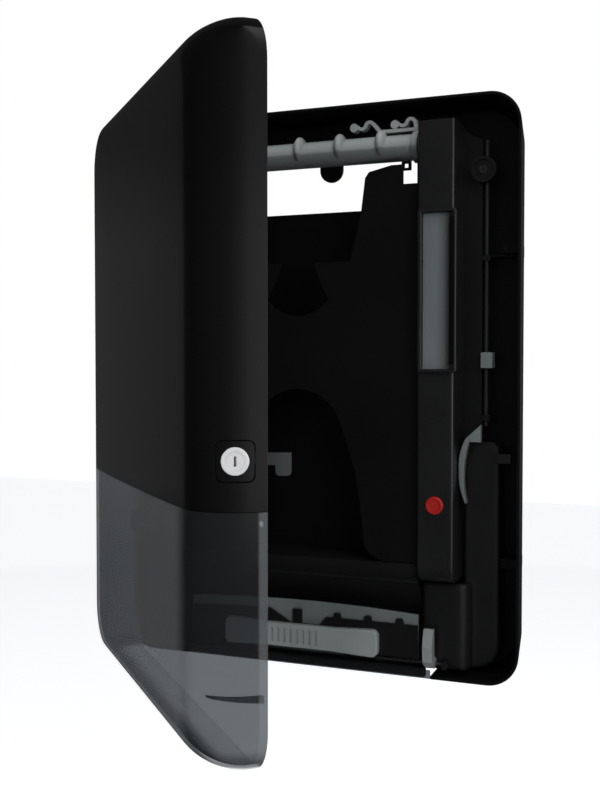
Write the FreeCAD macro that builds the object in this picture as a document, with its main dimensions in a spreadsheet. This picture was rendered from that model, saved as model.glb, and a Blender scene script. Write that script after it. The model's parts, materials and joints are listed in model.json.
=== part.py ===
import FreeCAD, Part
import math
import os
from types import SimpleNamespace

import Sketcher

# Continuous hand towel dispenser, slim wall unit with its door open.
# Frame: +X to the viewer's right, +Y into the wall, +Z up.
# The origin is the centre of the four wall screws, on the face against the wall.
# The door parts are drawn in the closed position and swung open about the hinge.

os.makedirs("parts", exist_ok=True)
doc = FreeCAD.newDocument("towel_dispenser")
V = FreeCAD.Vector

# Driving dimensions, in millimetres and degrees
SIZES = {
    "case_width": 370, "case_height": 491, "drawn_width": 370, "drawn_height": 491,
    "case_wall": 2.5, "back_wall": 3,
    "tray_depth": 52, "tray_corner": 27, "tray_back_corner": 35,
    "tray_side_draft": 7.25, "tray_end_draft": 2.35, "tray_edge_round": 5,
    "hinge_side_relief": 7.5, "hinge_side_step": 11.5,
    "door_depth": 48.6, "door_gap": 0.4, "door_wall": 2.8, "door_lip": 6.3,
    "door_side_round": 32.7, "door_end_round": 27.2, "door_crown": 2.9,
    "door_corner": 32.7, "door_front_corner": 28.4, "smoked_line": -72,
    "hinge_inboard": 10.4, "hinge_forward": 4.9, "hinge_height": 124,
    "door_angle": 46.4, "pin_radius": 2, "running_gap": 0.06, "seat_gap": 0.3,
    "knuckle_radius": 5, "knuckle_height": 9, "bracket_plate": 4.5,
    "web_centre": -12, "bin_half_width": 112, "bin_floor": -148, "panel_wall": 2,
    "plate_front": 52, "plate_top": 174.4,
    "ear_top": 191, "ear_shoulder": 186.5, "ear_inner": 62.9, "ear_notch": 96.8,
    "bite_top_half": 59.3, "bite_step_half": 49.3, "bite_step": 111,
    "neck_half": 15.8, "bowl_half": 29, "bowl_edge": 78.9, "bowl_bottom": 64.6,
    "arch_top": 0, "arch_knee_half": 39.3, "arch_knee": -27.5,
    "arch_waist_half": 54, "arch_waist": -70, "arch_foot_half": 61.6,
    "arch_foot": -122.6, "foot_half": 82.6, "foot_flare": 21,
    "bite_waist": 152.8, "neck_low": 97.5, "return_depth": 6,
    "bar_radius": 11.3, "bar_height": 207, "bar_back": 40, "bar_rib_pitch": 37.8,
    "bar_rib_half": 5.3, "bar_rib_rise": 11.5, "bar_flange": 13.5, "bar_flange_wide": 5,
    "bar_stub": 4, "finger_thick": 3, "finger_bend": 5.2, "finger_tip": 3.7, "finger_deep": 8,
    "finger_rise": 24.7, "finger_outer": 101.6, "finger_inner": 64.8,
    "finger_drop": 9.1, "finger_foot": 14, "finger_lean": 16.5,
    "column_left": 100.5, "column_right": 131.5, "column_front": 62,
    "column_top": 224, "column_bottom": -162, "chassis_front": 24,
    "chassis_right": 146.6, "chassis_top": 228,
    "window_low": 17.5, "window_high": 147.5, "bezel_proud": 4, "bezel_over": 3,
    "window_right": 128.5, "window_left": 105, "cover_wall": 2.2,
    "panel_bend": 116.5, "panel_fall": 1.1,
    "column_chin": 12, "column_edge": 2,
    "back_window_left": -107, "back_window_right": 83,
    "back_window_low": 161, "back_window_top": 214,
    "tongue_left": -9.5, "tongue_right": 12.4, "tongue_low": 188.5,
    "eyelet_left": 68.5, "eyelet_right": 77, "eyelet_low": 195, "eyelet_hole": 4, "guide_half": 2.5,
    "ledge_upper": 119, "ledge_lower": -147, "ledge_half": 4, "ledge_front": 28,
    "ledge_left": 164.5, "ledge_right": 178, "ledge_screw_x": 168, "side_rib_front": 17,
    "ledge_head": 2.2, "small_head": 3.5, "small_shank": 1.5, "small_head_thick": 1.6,
    "small_screw_length": 8,
    "button_height": -96, "button_deep": 6, "button_radius": 7.5, "button_proud": 1.8, "button_travel": 3,
    "cover_left": 133.5, "cover_right": 163, "cover_top": -44, "cover_bottom": -238, "cover_front": 30,
    "cover_low_front": 42, "cover_corner": 8, "cover_heel": 20, "cover_low_right": 140,
    "cover_low_top": -165,
    "lever_back": 40, "lever_deep": 6.3, "lever_right": 150.9, "lever_peak": 11.6, "lever_heel": 3.1,
    "lever_neck": 137.9, "lever_shoulder": 0.3, "lever_left": 132.4, "lever_middle": 27.7,
    "lever_end": 138.2, "lever_low": 55.3, "lever_end_wide": 0.9, "lever_inner": 141.1,
    "lever_upper_bow": 50, "lever_lower_bow": 56, "lever_inner_bow": 100, "lever_round": 0.6,
    "lever_pin_x": 142.8, "lever_pin_z": -40.3, "lever_pin_radius": 1.5, "lever_collar": 2.6,
    "lever_bore": 4.7,
    "rod_x": 149.9, "rod_y": 21.5, "rod_radius": 1.9, "rod_top": 212, "rod_bottom": -31,
    "tab_low": 18.7, "tab_high": 32, "retainer_radius": 11, "retainer_height": 186,
    "retainer_front": 32, "retainer_rim": 5, "retainer_step": 2, "retainer_well": 8.4,
    "rod_guide_upper": 112, "rod_guide_lower": -24,
    "tab_left": 3, "tab_reach": 6.8, "tab_deep": 8, "retainer_inboard": 1.2,
    "left_front": 44, "left_outer": -172, "left_corner": 30, "left_top": 232,
    "left_bottom": -236,
    "slot_left": -121, "slot_right": 110, "slot_back": 22,
    "fascia_bottom": -163, "fascia_front": 54.5, "fascia_lip": 60,
    "web_knee": -200, "web_seat": 4.2,
    "gate_axis_y": 46.5, "gate_axis_z": -233.5, "gate_shaft": 2.2,
    "gate_rise": 3.3, "sheet_thick": 2.1,
    "bearing_wide": 4.5, "bearing_half": 3.5, "bearing_inset": 12.5, "guide_cup": 16, "tab_rise": 4.5,
    "guide_top": -188.6, "guide_sag": 4, "wing_top": -201.5, "wing_left": -40, "wing_right": 14,
    "dip_left": -20, "dip_right": 8, "clip_foot": 1.2, "tab_start": 85.7, "tab_pitch": 28.5, "tab_wide": 8,
    "tab_slope": 1.5,
    "handle_centre": -9, "handle_half": 73, "handle_top": -207.5, "handle_bottom": -231.5,
    "handle_waist": 1.6, "handle_corner": 6, "handle_stand": 3.4,
    "arm_back": 3.2, "arm_front": 59, "arm_tall": 31, "arm_left": 104.8, "arm_wide": 8.5,
    "arm_slope": 9, "arm_nose": 16, "arm_bevel": 1.5, "arm_step": 8,
    "clip_left": -17.5, "clip_wide": 8.5, "clip_top": -196.5,
    "collar_inner": 46.2, "collar_outer": 76.3, "collar_wide": 6.5, "handle_deep": 6.5,
    "grip_pitch": 6, "grip_half": 27, "lip_tall": 7.1, "lip_thick": 1.6,
    "lock_depth": 20.6, "lock_height": -39.5, "lock_tilt": 22, "lock_face": 9,
    "lock_barrel": 7, "lock_length": 19, "lock_inset": 3.2,
    "lock_rim": 1.4, "lock_proud": 0.8, "sleeve_length": 17, "key_slot": 1.6, "cam_half": 4, "cam_drop": 11,
    "plate_wide": 24, "plate_tall": 25.5, "plate_corner": 4, "plate_gap": 0.25,
    "cam_reach": 35, "cam_shoulder": 24.5, "cam_thick": 3,
    "keeper_left": 166, "keeper_wide": 11, "keeper_front": 51.5, "keeper_thick": 2.2,
    "keeper_top": -52.2, "keeper_tall": 7.8, "keeper_stem": 4.5,
    "bracket_post": 10.6, "bracket_post_wide": 6,
    "shell_rib_wide": 10, "shell_rib_front": 85, "shell_rib_height": -193,
    "screw_x": 140, "screw_z": 260, "screw_hole": 3,
}

sheet = doc.addObject("Spreadsheet::Sheet", "Sizes")
for row, (word, number) in enumerate(SIZES.items(), 1):
    sheet.set(f"A{row}", word)
    sheet.set(f"B{row}", str(number))
    sheet.setAlias(f"B{row}", word)
doc.recompute()


class Size:
    """A length that carries both its number and the sheet expression behind it."""

    def __init__(self, number, text):
        self.number = float(number)
        self.text = text

    def __add__(self, other):
        other = size(other)
        return Size(self.number + other.number, f"({self.text} + {other.text})")

    def __radd__(self, other):
        return size(other) + self

    def __sub__(self, other):
        other = size(other)
        return Size(self.number - other.number, f"({self.text} - {other.text})")

    def __rsub__(self, other):
        return size(other) - self

    def __mul__(self, factor):
        factor = size(factor)
        return Size(self.number * factor.number, f"({self.text} * {factor.text})")

    __rmul__ = __mul__

    def __truediv__(self, other):
        other = size(other)
        return Size(self.number / other.number, f"({self.text} / {other.text})")

    def __neg__(self):
        return Size(-self.number, f"(0 - {self.text})")


def size(value):
    """Turn an alias, a plain number or a Size into a Size."""
    if isinstance(value, Size):
        return value
    if isinstance(value, str):
        return Size(sheet.get(value), f"Sizes.{value}")
    return Size(value, f"({float(value):.6f})")


S = SimpleNamespace(**{word: size(word) for word in SIZES})

# Places across the case and up it, which keep their share of its width and height
ACROSS = (
    "web_centre", "bin_half_width", "ear_inner", "ear_notch", "bite_top_half", "bite_step_half",
    "neck_half", "bowl_half", "arch_knee_half", "arch_waist_half", "arch_foot_half", "foot_half",
    "bar_rib_pitch", "finger_outer", "finger_inner", "column_left", "column_right", "chassis_right",
    "window_left", "window_right", "panel_bend", "back_window_left", "back_window_right",
    "tongue_left", "tongue_right",
    "eyelet_left", "eyelet_right", "ledge_left", "ledge_right", "ledge_screw_x", "cover_right",
    "cover_low_right", "cover_left", "lever_right", "lever_neck", "lever_left", "lever_end",
    "lever_inner", "lever_pin_x", "rod_x", "left_outer", "slot_left", "slot_right", "wing_left",
    "wing_right", "dip_left", "dip_right", "tab_start", "tab_pitch", "handle_centre", "handle_half",
    "arm_left", "clip_left", "collar_inner", "collar_outer", "keeper_left",
)
UP = (
    "smoked_line", "hinge_height", "bin_floor", "plate_top", "ear_top", "ear_shoulder", "bite_step",
    "bowl_edge", "bowl_bottom", "arch_top", "arch_knee", "arch_waist", "arch_foot", "bite_waist",
    "neck_low", "bar_height", "column_top", "column_bottom", "chassis_top",
    "window_low", "window_high", "back_window_low", "back_window_top", "tongue_low", "eyelet_low",
    "ledge_upper", "ledge_lower", "button_height", "cover_top", "cover_bottom", "cover_low_top",
    "lever_pin_z",
    "rod_top", "rod_bottom", "tab_low", "tab_high", "retainer_height", "rod_guide_upper",
    "rod_guide_lower", "left_top", "left_bottom", "fascia_bottom", "web_knee",
    "gate_axis_z", "guide_top", "wing_top", "handle_top", "handle_bottom", "clip_top",
    "lock_height", "keeper_top", "shell_rib_height",
)
for words, share in ((ACROSS, S.case_width / S.drawn_width), (UP, S.case_height / S.drawn_height)):
    for word in words:
        setattr(S, word, getattr(S, word) * share)


def bind(thing, field, value):
    """Tie a property of a document object to the sheet."""
    thing.setExpression(field, size(value).text)


# Derived places, each worked out once from the driving dimensions

HALF_WIDTH = S.case_width / 2
HALF_HEIGHT = S.case_height / 2
RIM = S.tray_depth
HINGE_X = S.hinge_inboard - HALF_WIDTH
HINGE_Y = -(S.tray_depth + S.hinge_forward)
BIN_LEFT = S.web_centre - S.bin_half_width
BIN_RIGHT = S.column_left - S.seat_gap
BRACKET_HALF = S.knuckle_height / 2 + S.seat_gap + S.bracket_plate
BUTTON_X = (S.column_left + S.column_right) / 2
BUTTON_BACK = S.button_deep - S.column_front
RETAINER_X = S.rod_x - S.retainer_inboard
GATE_LEFT = BIN_LEFT
GATE_FOOT = S.gate_axis_z + S.gate_rise
WEB_FOOT = S.web_seat - HALF_HEIGHT
GATE_RIGHT = S.column_right - S.bearing_inset
LOCK_TURN = math.radians(S.lock_tilt.number)
LOCK_OUT = V(math.cos(LOCK_TURN), -math.sin(LOCK_TURN), 0)
LOCK = FreeCAD.Placement(
    V((HALF_WIDTH - S.lock_inset).number, -(RIM + S.door_gap + S.lock_depth).number, S.lock_height.number),
    FreeCAD.Rotation(V(math.sin(LOCK_TURN), math.cos(LOCK_TURN), 0), V(0, 0, 1), LOCK_OUT, "ZXY"),
)
SWING = FreeCAD.Placement(
    V(0, 0, 0),
    FreeCAD.Rotation(V(0, 0, 1), -S.door_angle.number),
    V(HINGE_X.number, HINGE_Y.number, 0),
)


# Part primitives

def block(name, x, y, z):
    """A box between two values on each axis."""
    box = doc.addObject("Part::Box", name)
    for field, axis, (low, high) in (("Length", "x", x), ("Width", "y", y), ("Height", "z", z)):
        bind(box, field, size(high) - low)
        bind(box, f"Placement.Base.{axis}", low)
    return box


TURNS = {
    "X": FreeCAD.Rotation(V(0, 1, 0), 90),
    "Y": FreeCAD.Rotation(V(1, 0, 0), -90),
    "Z": FreeCAD.Rotation(),
}


def bar(name, axis, radius, start, length):
    """A round bar from its start point along +X, +Y or +Z."""
    rod = doc.addObject("Part::Cylinder", name)
    rod.Placement = FreeCAD.Placement(V(0, 0, 0), TURNS[axis])
    bind(rod, "Radius", radius)
    bind(rod, "Height", length)
    for field, value in zip("xyz", start):
        bind(rod, f"Placement.Base.{field}", value)
    return rod


def fuse(name, *shapes):
    joined = doc.addObject("Part::MultiFuse", name)
    joined.Shapes = list(shapes)
    return joined


def cut(name, base, *tools):
    piece = doc.addObject("Part::Cut", name)
    piece.Base = base
    piece.Tool = tools[0] if len(tools) == 1 else fuse(f"{name}_tools", *tools)
    return piece


def common(name, base, tool):
    piece = doc.addObject("Part::Common", name)
    piece.Base = base
    piece.Tool = tool
    return piece


def group(name, *solids):
    """Identical pieces that share one node and stay separate solids."""
    several = doc.addObject("Part::Compound", name)
    several.Links = list(solids)
    return several


# Sketch outlines

def new_body(name):
    return doc.addObject("PartDesign::Body", name)


def sketch_on(body, name, role, offset=0):
    """A sketch on one of the body's own origin planes, moved along the plane's normal."""
    plane = next(item for item in body.Origin.OriginFeatures if item.Role == role)
    sketch = body.newObject("Sketcher::SketchObject", name)
    sketch.AttachmentSupport = [(plane, "")]
    sketch.MapMode = "FlatFace"
    bind(sketch, "AttachmentOffset.Base.z", offset)
    return sketch


def outline(sketch, points):
    """A closed outline; a third entry is the radius of the arc to the next point.

    A positive radius turns left along the way round, and a negative one turns right.
    A half circle is held by its centre, since its two ends already give its radius.
    """
    first = sketch.GeometryCount
    places = [(size(point[0]), size(point[1])) for point in points]
    count = len(points)
    begins, ends = [], []
    for k, point in enumerate(points):
        a = V(places[k][0].number, places[k][1].number, 0)
        b = V(places[(k + 1) % count][0].number, places[(k + 1) % count][1].number, 0)
        if len(point) < 3:
            sketch.addGeometry(Part.LineSegment(a, b), False)
            begins.append(1)
            ends.append(2)
            continue
        radius = size(point[2]).number
        half = (b - a).Length / 2
        rise = abs(radius) - math.sqrt(max(radius * radius - half * half, 0))
        side = V(b.y - a.y, a.x - b.x, 0).normalize() * math.copysign(rise, radius)
        sketch.addGeometry(Part.Arc(a, (a + b) / 2 + side, b), False)
        begins.append(1 if radius > 0 else 2)
        ends.append(2 if radius > 0 else 1)
    for k, point in enumerate(points):
        follower = (k + 1) % count
        sketch.addConstraint(
            Sketcher.Constraint("Coincident", first + k, ends[k], first + follower, begins[follower])
        )
        for kind, value in (("DistanceX", places[k][0]), ("DistanceY", places[k][1])):
            index = sketch.addConstraint(Sketcher.Constraint(kind, first + k, begins[k], value.number))
            bind(sketch, f"Constraints[{index}]", value)
        if len(point) < 3:
            continue
        radius = size(point[2])
        radius = radius if radius.number > 0 else -radius
        across = [(places[k][side] + places[(k + 1) % count][side]) / 2 for side in (0, 1)]
        reach = [(places[(k + 1) % count][side] - places[k][side]).number for side in (0, 1)]
        if math.hypot(*reach) / 2 < radius.number - 0.01:
            index = sketch.addConstraint(Sketcher.Constraint("Radius", first + k, radius.number))
            bind(sketch, f"Constraints[{index}]", radius)
            continue
        side = 0 if abs(reach[0]) < abs(reach[1]) else 1
        kind = ("DistanceX", "DistanceY")[side]
        index = sketch.addConstraint(Sketcher.Constraint(kind, first + k, 3, across[side].number))
        bind(sketch, f"Constraints[{index}]", across[side])


def rectangle(sketch, x, y):
    outline(sketch, [(x[0], y[0]), (x[1], y[0]), (x[1], y[1]), (x[0], y[1])])


def rounded(sketch, x, y, radius):
    """A rectangle with four equal round corners."""
    left, right = size(x[0]), size(x[1])
    low, high = size(y[0]), size(y[1])
    radius = size(radius)
    outline(sketch, [
        (left + radius, low), (right - radius, low, radius),
        (right, low + radius), (right, high - radius, radius),
        (right - radius, high), (left + radius, high, radius),
        (left, high - radius), (left, low + radius, radius),
    ])


def circle(sketch, x, y, radius):
    x, y, radius = size(x), size(y), size(radius)
    index = sketch.addGeometry(Part.Circle(V(x.number, y.number, 0), V(0, 0, 1), radius.number), False)
    for kind, value in (("DistanceX", x), ("DistanceY", y)):
        row = sketch.addConstraint(Sketcher.Constraint(kind, index, 3, value.number))
        bind(sketch, f"Constraints[{row}]", value)
    row = sketch.addConstraint(Sketcher.Constraint("Radius", index, radius.number))
    bind(sketch, f"Constraints[{row}]", radius)


def mirror(points):
    """The same outline on the other side of the sketch's upright axis."""
    return [(-size(x), y) if not arc else (-size(x), y, -size(arc[0])) for x, y, *arc in points]


def arc_radius(half, rise):
    """Radius of the arc through two points and a rise between them."""
    return (half * half + rise * rise) / (rise * 2)


# Features

def pad(body, name, sketch, length):
    feature = body.newObject("PartDesign::Pad", name)
    feature.Profile = sketch
    bind(feature, "Length", length)
    return feature


def pocket(body, name, sketch, depth, forward=False):
    """Cut against the sketch's normal, or along it when forward is set."""
    doc.recompute()
    before = body.Shape.Volume
    feature = body.newObject("PartDesign::Pocket", name)
    feature.Profile = sketch
    feature.Reversed = forward
    bind(feature, "Length", depth)
    doc.recompute()
    if body.Shape.Volume > before - 0.01:
        raise RuntimeError(f"{body.Name}: {name} cuts nothing")
    return feature


def round_edges(body, name, radius, wanted):
    """Round the edges whose middle and direction the test accepts."""
    doc.recompute()
    base = body.Tip
    edges = []
    for k, edge in enumerate(base.Shape.Edges, 1):
        middle = edge.valueAt((edge.FirstParameter + edge.LastParameter) / 2)
        way = edge.tangentAt((edge.FirstParameter + edge.LastParameter) / 2)
        if wanted(middle, way):
            edges.append(f"Edge{k}")
    if not edges:
        raise RuntimeError(f"{body.Name}: {name} finds no edge")
    feature = body.newObject("PartDesign::Fillet", name)
    feature.Base = (base, edges)
    bind(feature, "Radius", radius)
    return feature


def near(value, target):
    return abs(value - size(target).number) < 0.05


def loft(body, name, kind, sections, ruled):
    feature = body.newObject(f"PartDesign::{kind}Loft", name)
    feature.Profile = sections[0]
    feature.Sections = sections[1:]
    feature.Ruled = ruled
    return feature


SUBPARTS = {}


def subpart(node, piece):
    """Register a finished piece under its node's name."""
    piece.Label = node
    SUBPARTS[node] = piece
    return piece


def on_door(node, piece, local=None):
    """Register a piece of the door, swung from closed to its open rest position."""
    piece.Placement = SWING.multiply(local) if local else SWING
    return subpart(node, piece)


# Housing: the tray on the wall

def back_housing():
    """Wall tray: drafted walls, open front, towel outlet below and mounting holes in the back."""
    body = new_body("back_housing")
    back_half = (HALF_WIDTH - S.tray_side_draft, HALF_HEIGHT - S.tray_end_draft)

    def section(name, depth, inset):
        share = depth / RIM
        half_x = back_half[0] + S.tray_side_draft * share - inset
        half_z = back_half[1] + S.tray_end_draft * share - inset
        corner = S.tray_back_corner - (S.tray_back_corner - S.tray_corner) * share - inset
        sketch = sketch_on(body, name, "XZ_Plane", depth)
        rounded(sketch, (-half_x, half_x), (-half_z, half_z), corner)
        return sketch

    outside = [section("tray_back", size(0), 0), section("tray_rim", RIM, 0)]
    loft(body, "tray_outside", "Additive", outside, True)
    round_edges(body, "tray_back_round", S.tray_edge_round, lambda middle, way: near(middle.y, 0))
    inside = [section("tray_floor", S.back_wall, S.case_wall), section("tray_mouth", RIM, S.case_wall)]
    loft(body, "tray_inside", "Subtractive", inside, True)

    relief = sketch_on(body, "hinge_relief_outline", "XZ_Plane", RIM)
    rectangle(relief, (-HALF_WIDTH - 1, S.hinge_side_step - HALF_WIDTH), (-HALF_HEIGHT - 1, HALF_HEIGHT + 1))
    pocket(body, "hinge_relief", relief, S.hinge_side_relief)

    slot = sketch_on(body, "outlet_slot_outline", "XY_Plane", S.case_wall * 2 - HALF_HEIGHT)
    rectangle(slot, (S.slot_left, S.slot_right), (-RIM - 1, -S.slot_back))
    pocket(body, "outlet_slot", slot, S.case_wall * 3)

    window = sketch_on(body, "back_window_outline", "XZ_Plane", S.back_wall)
    tongue = (S.tongue_right - S.tongue_left) / 2
    outline(window, [
        (S.back_window_left, S.back_window_low), (S.back_window_right, S.back_window_low),
        (S.back_window_right, S.back_window_top), (S.eyelet_right, S.back_window_top),
        (S.eyelet_right, S.eyelet_low), (S.eyelet_left, S.eyelet_low),
        (S.eyelet_left, S.back_window_top), (S.tongue_right, S.back_window_top),
        (S.tongue_right, S.tongue_low + tongue, -tongue), (S.tongue_left, S.tongue_low + tongue),
        (S.tongue_left, S.back_window_top), (S.back_window_left, S.back_window_top),
    ])
    eyelet = ((S.eyelet_left + S.eyelet_right) / 2, S.eyelet_low + S.eyelet_hole)
    rectangle(
        window,
        (eyelet[0] - S.eyelet_hole / 2, eyelet[0] + S.eyelet_hole / 2),
        (eyelet[1] - S.eyelet_hole / 2, eyelet[1] + S.eyelet_hole / 2),
    )
    for side in (-1, 1):
        for level in (-1, 1):
            circle(window, S.screw_x / 2 * side, S.screw_z / 2 * level, S.screw_hole)
    pocket(body, "back_window", window, S.back_wall * 2)

    rib_top = S.ledge_upper - S.ledge_half
    ledge_foot = S.ledge_lower - S.ledge_half
    for name, left, height, front in (
        ("upper_ledge", S.ledge_left, (rib_top, rib_top + S.ledge_half * 2), S.ledge_front),
        ("lower_ledge", S.ledge_left, (ledge_foot, ledge_foot + S.ledge_half * 2), S.ledge_front),
        ("side_rib", S.rod_x - 1, (rib_top - S.panel_wall, rib_top), S.side_rib_front),
    ):
        sketch = sketch_on(body, f"{name}_outline", "XZ_Plane", S.back_wall / 2)
        rectangle(sketch, (left, S.ledge_right), height)
        pad(body, name, sketch, front - S.back_wall / 2)
    holes = sketch_on(body, "ledge_holes", "XZ_Plane", S.ledge_front)
    for level in (S.ledge_upper, S.ledge_lower):
        circle(holes, S.ledge_screw_x, level, S.small_shank)
    pocket(body, "ledge_drillings", holes, S.small_screw_length)
    subpart("back_housing", body)


# Housing: the two chassis boxes beside the towel bin

def box_shell(name, points, inner, front, wall, back):
    """A plate outline padded forward from the back wall and hollowed from behind."""
    body = new_body(name)
    sketch = sketch_on(body, f"{name}_outline", "XZ_Plane", back)
    outline(sketch, points)
    pad(body, f"{name}_block", sketch, front - back)
    hollow = sketch_on(body, f"{name}_inner", "XZ_Plane", back)
    outline(hollow, inner)
    pocket(body, f"{name}_hollow", hollow, front - back - wall, forward=True)
    return body


def left_chassis():
    """Tall box on the hinge side, with two large outer corners."""
    def ring(inset):
        left = S.left_outer + inset
        right = BIN_LEFT - inset
        low = S.left_bottom + inset
        top = S.left_top - inset
        corner = S.left_corner - inset
        return [
            (left + corner, low), (right, low), (right, top), (left + corner, top, corner),
            (left, top - corner), (left, low + corner, corner),
        ]
    body = box_shell("left_chassis", ring(0), ring(S.panel_wall), S.left_front, S.panel_wall, S.back_wall)
    subpart("left_chassis", body)


def right_chassis():
    """Stepped box behind the control column and the release rod."""
    left = S.column_left
    leg = S.cover_left - 0.5
    low, step = S.column_bottom + 2, S.cover_top + 2
    slope = (S.chassis_right - 8, S.rod_top + 4)
    crown = S.chassis_right - 27

    def ring(inset):
        return [
            (left + inset, low + inset), (leg - inset, low + inset), (leg - inset, step + inset),
            (S.chassis_right - inset, step + inset), (S.chassis_right - inset, S.rod_top - inset / 2),
            (slope[0] - inset / 2, slope[1] - inset), (crown - inset / 2, S.chassis_top - inset),
            (left + inset, S.chassis_top - inset),
        ]
    body = box_shell(
        "right_chassis", ring(size(0)), ring(S.panel_wall), S.chassis_front, S.panel_wall, S.back_wall,
    )
    hole = sketch_on(body, "lever_pin_seat", "XZ_Plane", S.chassis_front)
    circle(hole, S.lever_pin_x, S.lever_pin_z, S.lever_pin_radius)
    pocket(body, "lever_pin_hole", hole, S.panel_wall)
    subpart("right_chassis", body)


def column_cover():
    """Upright control column with a window opening and a button hole."""
    body = new_body("column_cover")
    block_outline = sketch_on(body, "column_outline", "XZ_Plane", S.chassis_front)
    rectangle(block_outline, (S.column_left, S.column_right), (S.column_bottom, S.column_top))
    pad(body, "column_block", block_outline, S.column_front - S.chassis_front)
    front = -S.column_front
    round_edges(
        body, "column_underside", S.column_chin,
        lambda middle, way: near(middle.y, front) and near(middle.z, S.column_bottom),
    )
    round_edges(
        body, "column_edges", S.column_edge,
        lambda middle, way: near(middle.y, front) and abs(way.z) > 0.9 and middle.z > 0,
    )
    hollow = sketch_on(body, "column_inner", "XZ_Plane", S.chassis_front)
    rectangle(
        hollow,
        (S.column_left + S.cover_wall, S.column_right - S.cover_wall),
        (S.column_bottom + S.column_chin, S.column_top - S.cover_wall),
    )
    pocket(body, "column_hollow", hollow, S.column_front - S.chassis_front - S.cover_wall, forward=True)
    openings = sketch_on(body, "column_openings", "XZ_Plane", S.column_front)
    rectangle(
        openings,
        (S.window_left, S.window_right + S.seat_gap),
        (S.window_low, S.window_high),
    )
    circle(openings, BUTTON_X, S.button_height, S.button_radius + S.running_gap)
    pocket(body, "column_window", openings, S.cover_wall * 2)
    subpart("column_cover", body)


def window_bezel():
    """Raised frame around the column window, with a return over the column's right side."""
    body = new_body("window_bezel")
    margin = S.bezel_over - 0.5
    left, right = S.window_left - S.bezel_over - 0.5, S.column_right + S.bezel_over
    low, high = S.window_low - margin, S.window_high + margin
    frame = sketch_on(body, "bezel_outline", "XZ_Plane", S.column_front)
    rounded(frame, (left, right), (low, high), 2)
    pad(body, "bezel_frame", frame, S.bezel_proud)
    opening = sketch_on(body, "bezel_opening_outline", "XZ_Plane", S.column_front + S.bezel_proud)
    rounded(opening, (S.window_left, S.column_right), (S.window_low, S.window_high), 1)
    pocket(body, "bezel_opening", opening, S.bezel_proud)
    wrap = sketch_on(body, "bezel_return_outline", "XZ_Plane", S.column_front - 2)
    rectangle(wrap, (S.column_right + S.seat_gap, right), (low + 2, high - 2))
    pad(body, "bezel_return", wrap, 3)
    round_edges(
        body, "bezel_edges", 0.8,
        lambda middle, way: near(middle.y, -S.column_front - S.bezel_proud),
    )
    subpart("window_bezel", body)


def window_panel():
    """Panel set into the column's window opening, flat on the left and falling away on the right."""
    body = new_body("window_panel")
    low, high = S.window_low + S.seat_gap, S.window_high - S.seat_gap
    left, right, back = S.window_left + S.seat_gap, S.window_right, S.cover_wall - S.column_front
    sketch = sketch_on(body, "panel_outline", "XY_Plane", low)
    outline(sketch, [
        (left, -S.column_front),
        (S.panel_bend, -S.column_front, arc_radius(right - S.panel_bend, S.panel_fall)),
        (right, S.panel_fall - S.column_front), (right, back), (left, back),
    ])
    pad(body, "panel_plate", sketch, high - low)
    subpart("window_panel", body)


def mechanism_cover():
    """Low cover at the right: a flat upper part and a deeper foot beside the outlet."""
    body = new_body("mechanism_cover")
    corner, heel = S.cover_corner, S.cover_heel

    def upper(inset):
        left, right = S.cover_left + inset, S.cover_right - inset
        low, top = S.cover_bottom + inset, S.cover_top - inset
        small, large = corner - inset, heel - inset
        return [
            (left, low), (right - large, low, large), (right, low + large), (right, top - small, small),
            (right - small, top), (left + small, top, small), (left, top - small),
        ]

    def foot(inset):
        left, right = S.column_left + 0.5 + inset, S.cover_low_right - inset
        return (left, right), (S.cover_bottom + inset, S.cover_low_top - inset)

    first = sketch_on(body, "cover_upper_outline", "XZ_Plane", S.back_wall)
    outline(first, upper(0))
    pad(body, "cover_upper", first, S.cover_front - S.back_wall)
    second = sketch_on(body, "cover_foot_outline", "XZ_Plane", S.back_wall)
    rectangle(second, *foot(0))
    pad(body, "cover_foot", second, S.cover_low_front - S.back_wall)
    round_edges(
        body, "cover_foot_edge", S.cover_corner,
        lambda middle, way: near(middle.y, -S.cover_low_front) and near(middle.x, S.cover_low_right),
    )
    round_edges(
        body, "cover_front_edge", S.column_edge,
        lambda middle, way: near(middle.y, -S.cover_front) and middle.x > S.cover_low_right.number + 1,
    )
    for name, points, depth in (
        ("cover_upper_hollow", upper(S.cover_wall), S.cover_front),
        ("cover_foot_hollow", None, S.cover_low_front - S.cover_wall),
    ):
        sketch = sketch_on(body, f"{name}_outline", "XZ_Plane", S.back_wall)
        if points:
            outline(sketch, points)
        else:
            rectangle(sketch, *foot(S.cover_wall))
        pocket(body, name, sketch, depth - S.back_wall - S.cover_wall, forward=True)
    subpart("mechanism_cover", body)


# Housing: the towel bin

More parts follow.
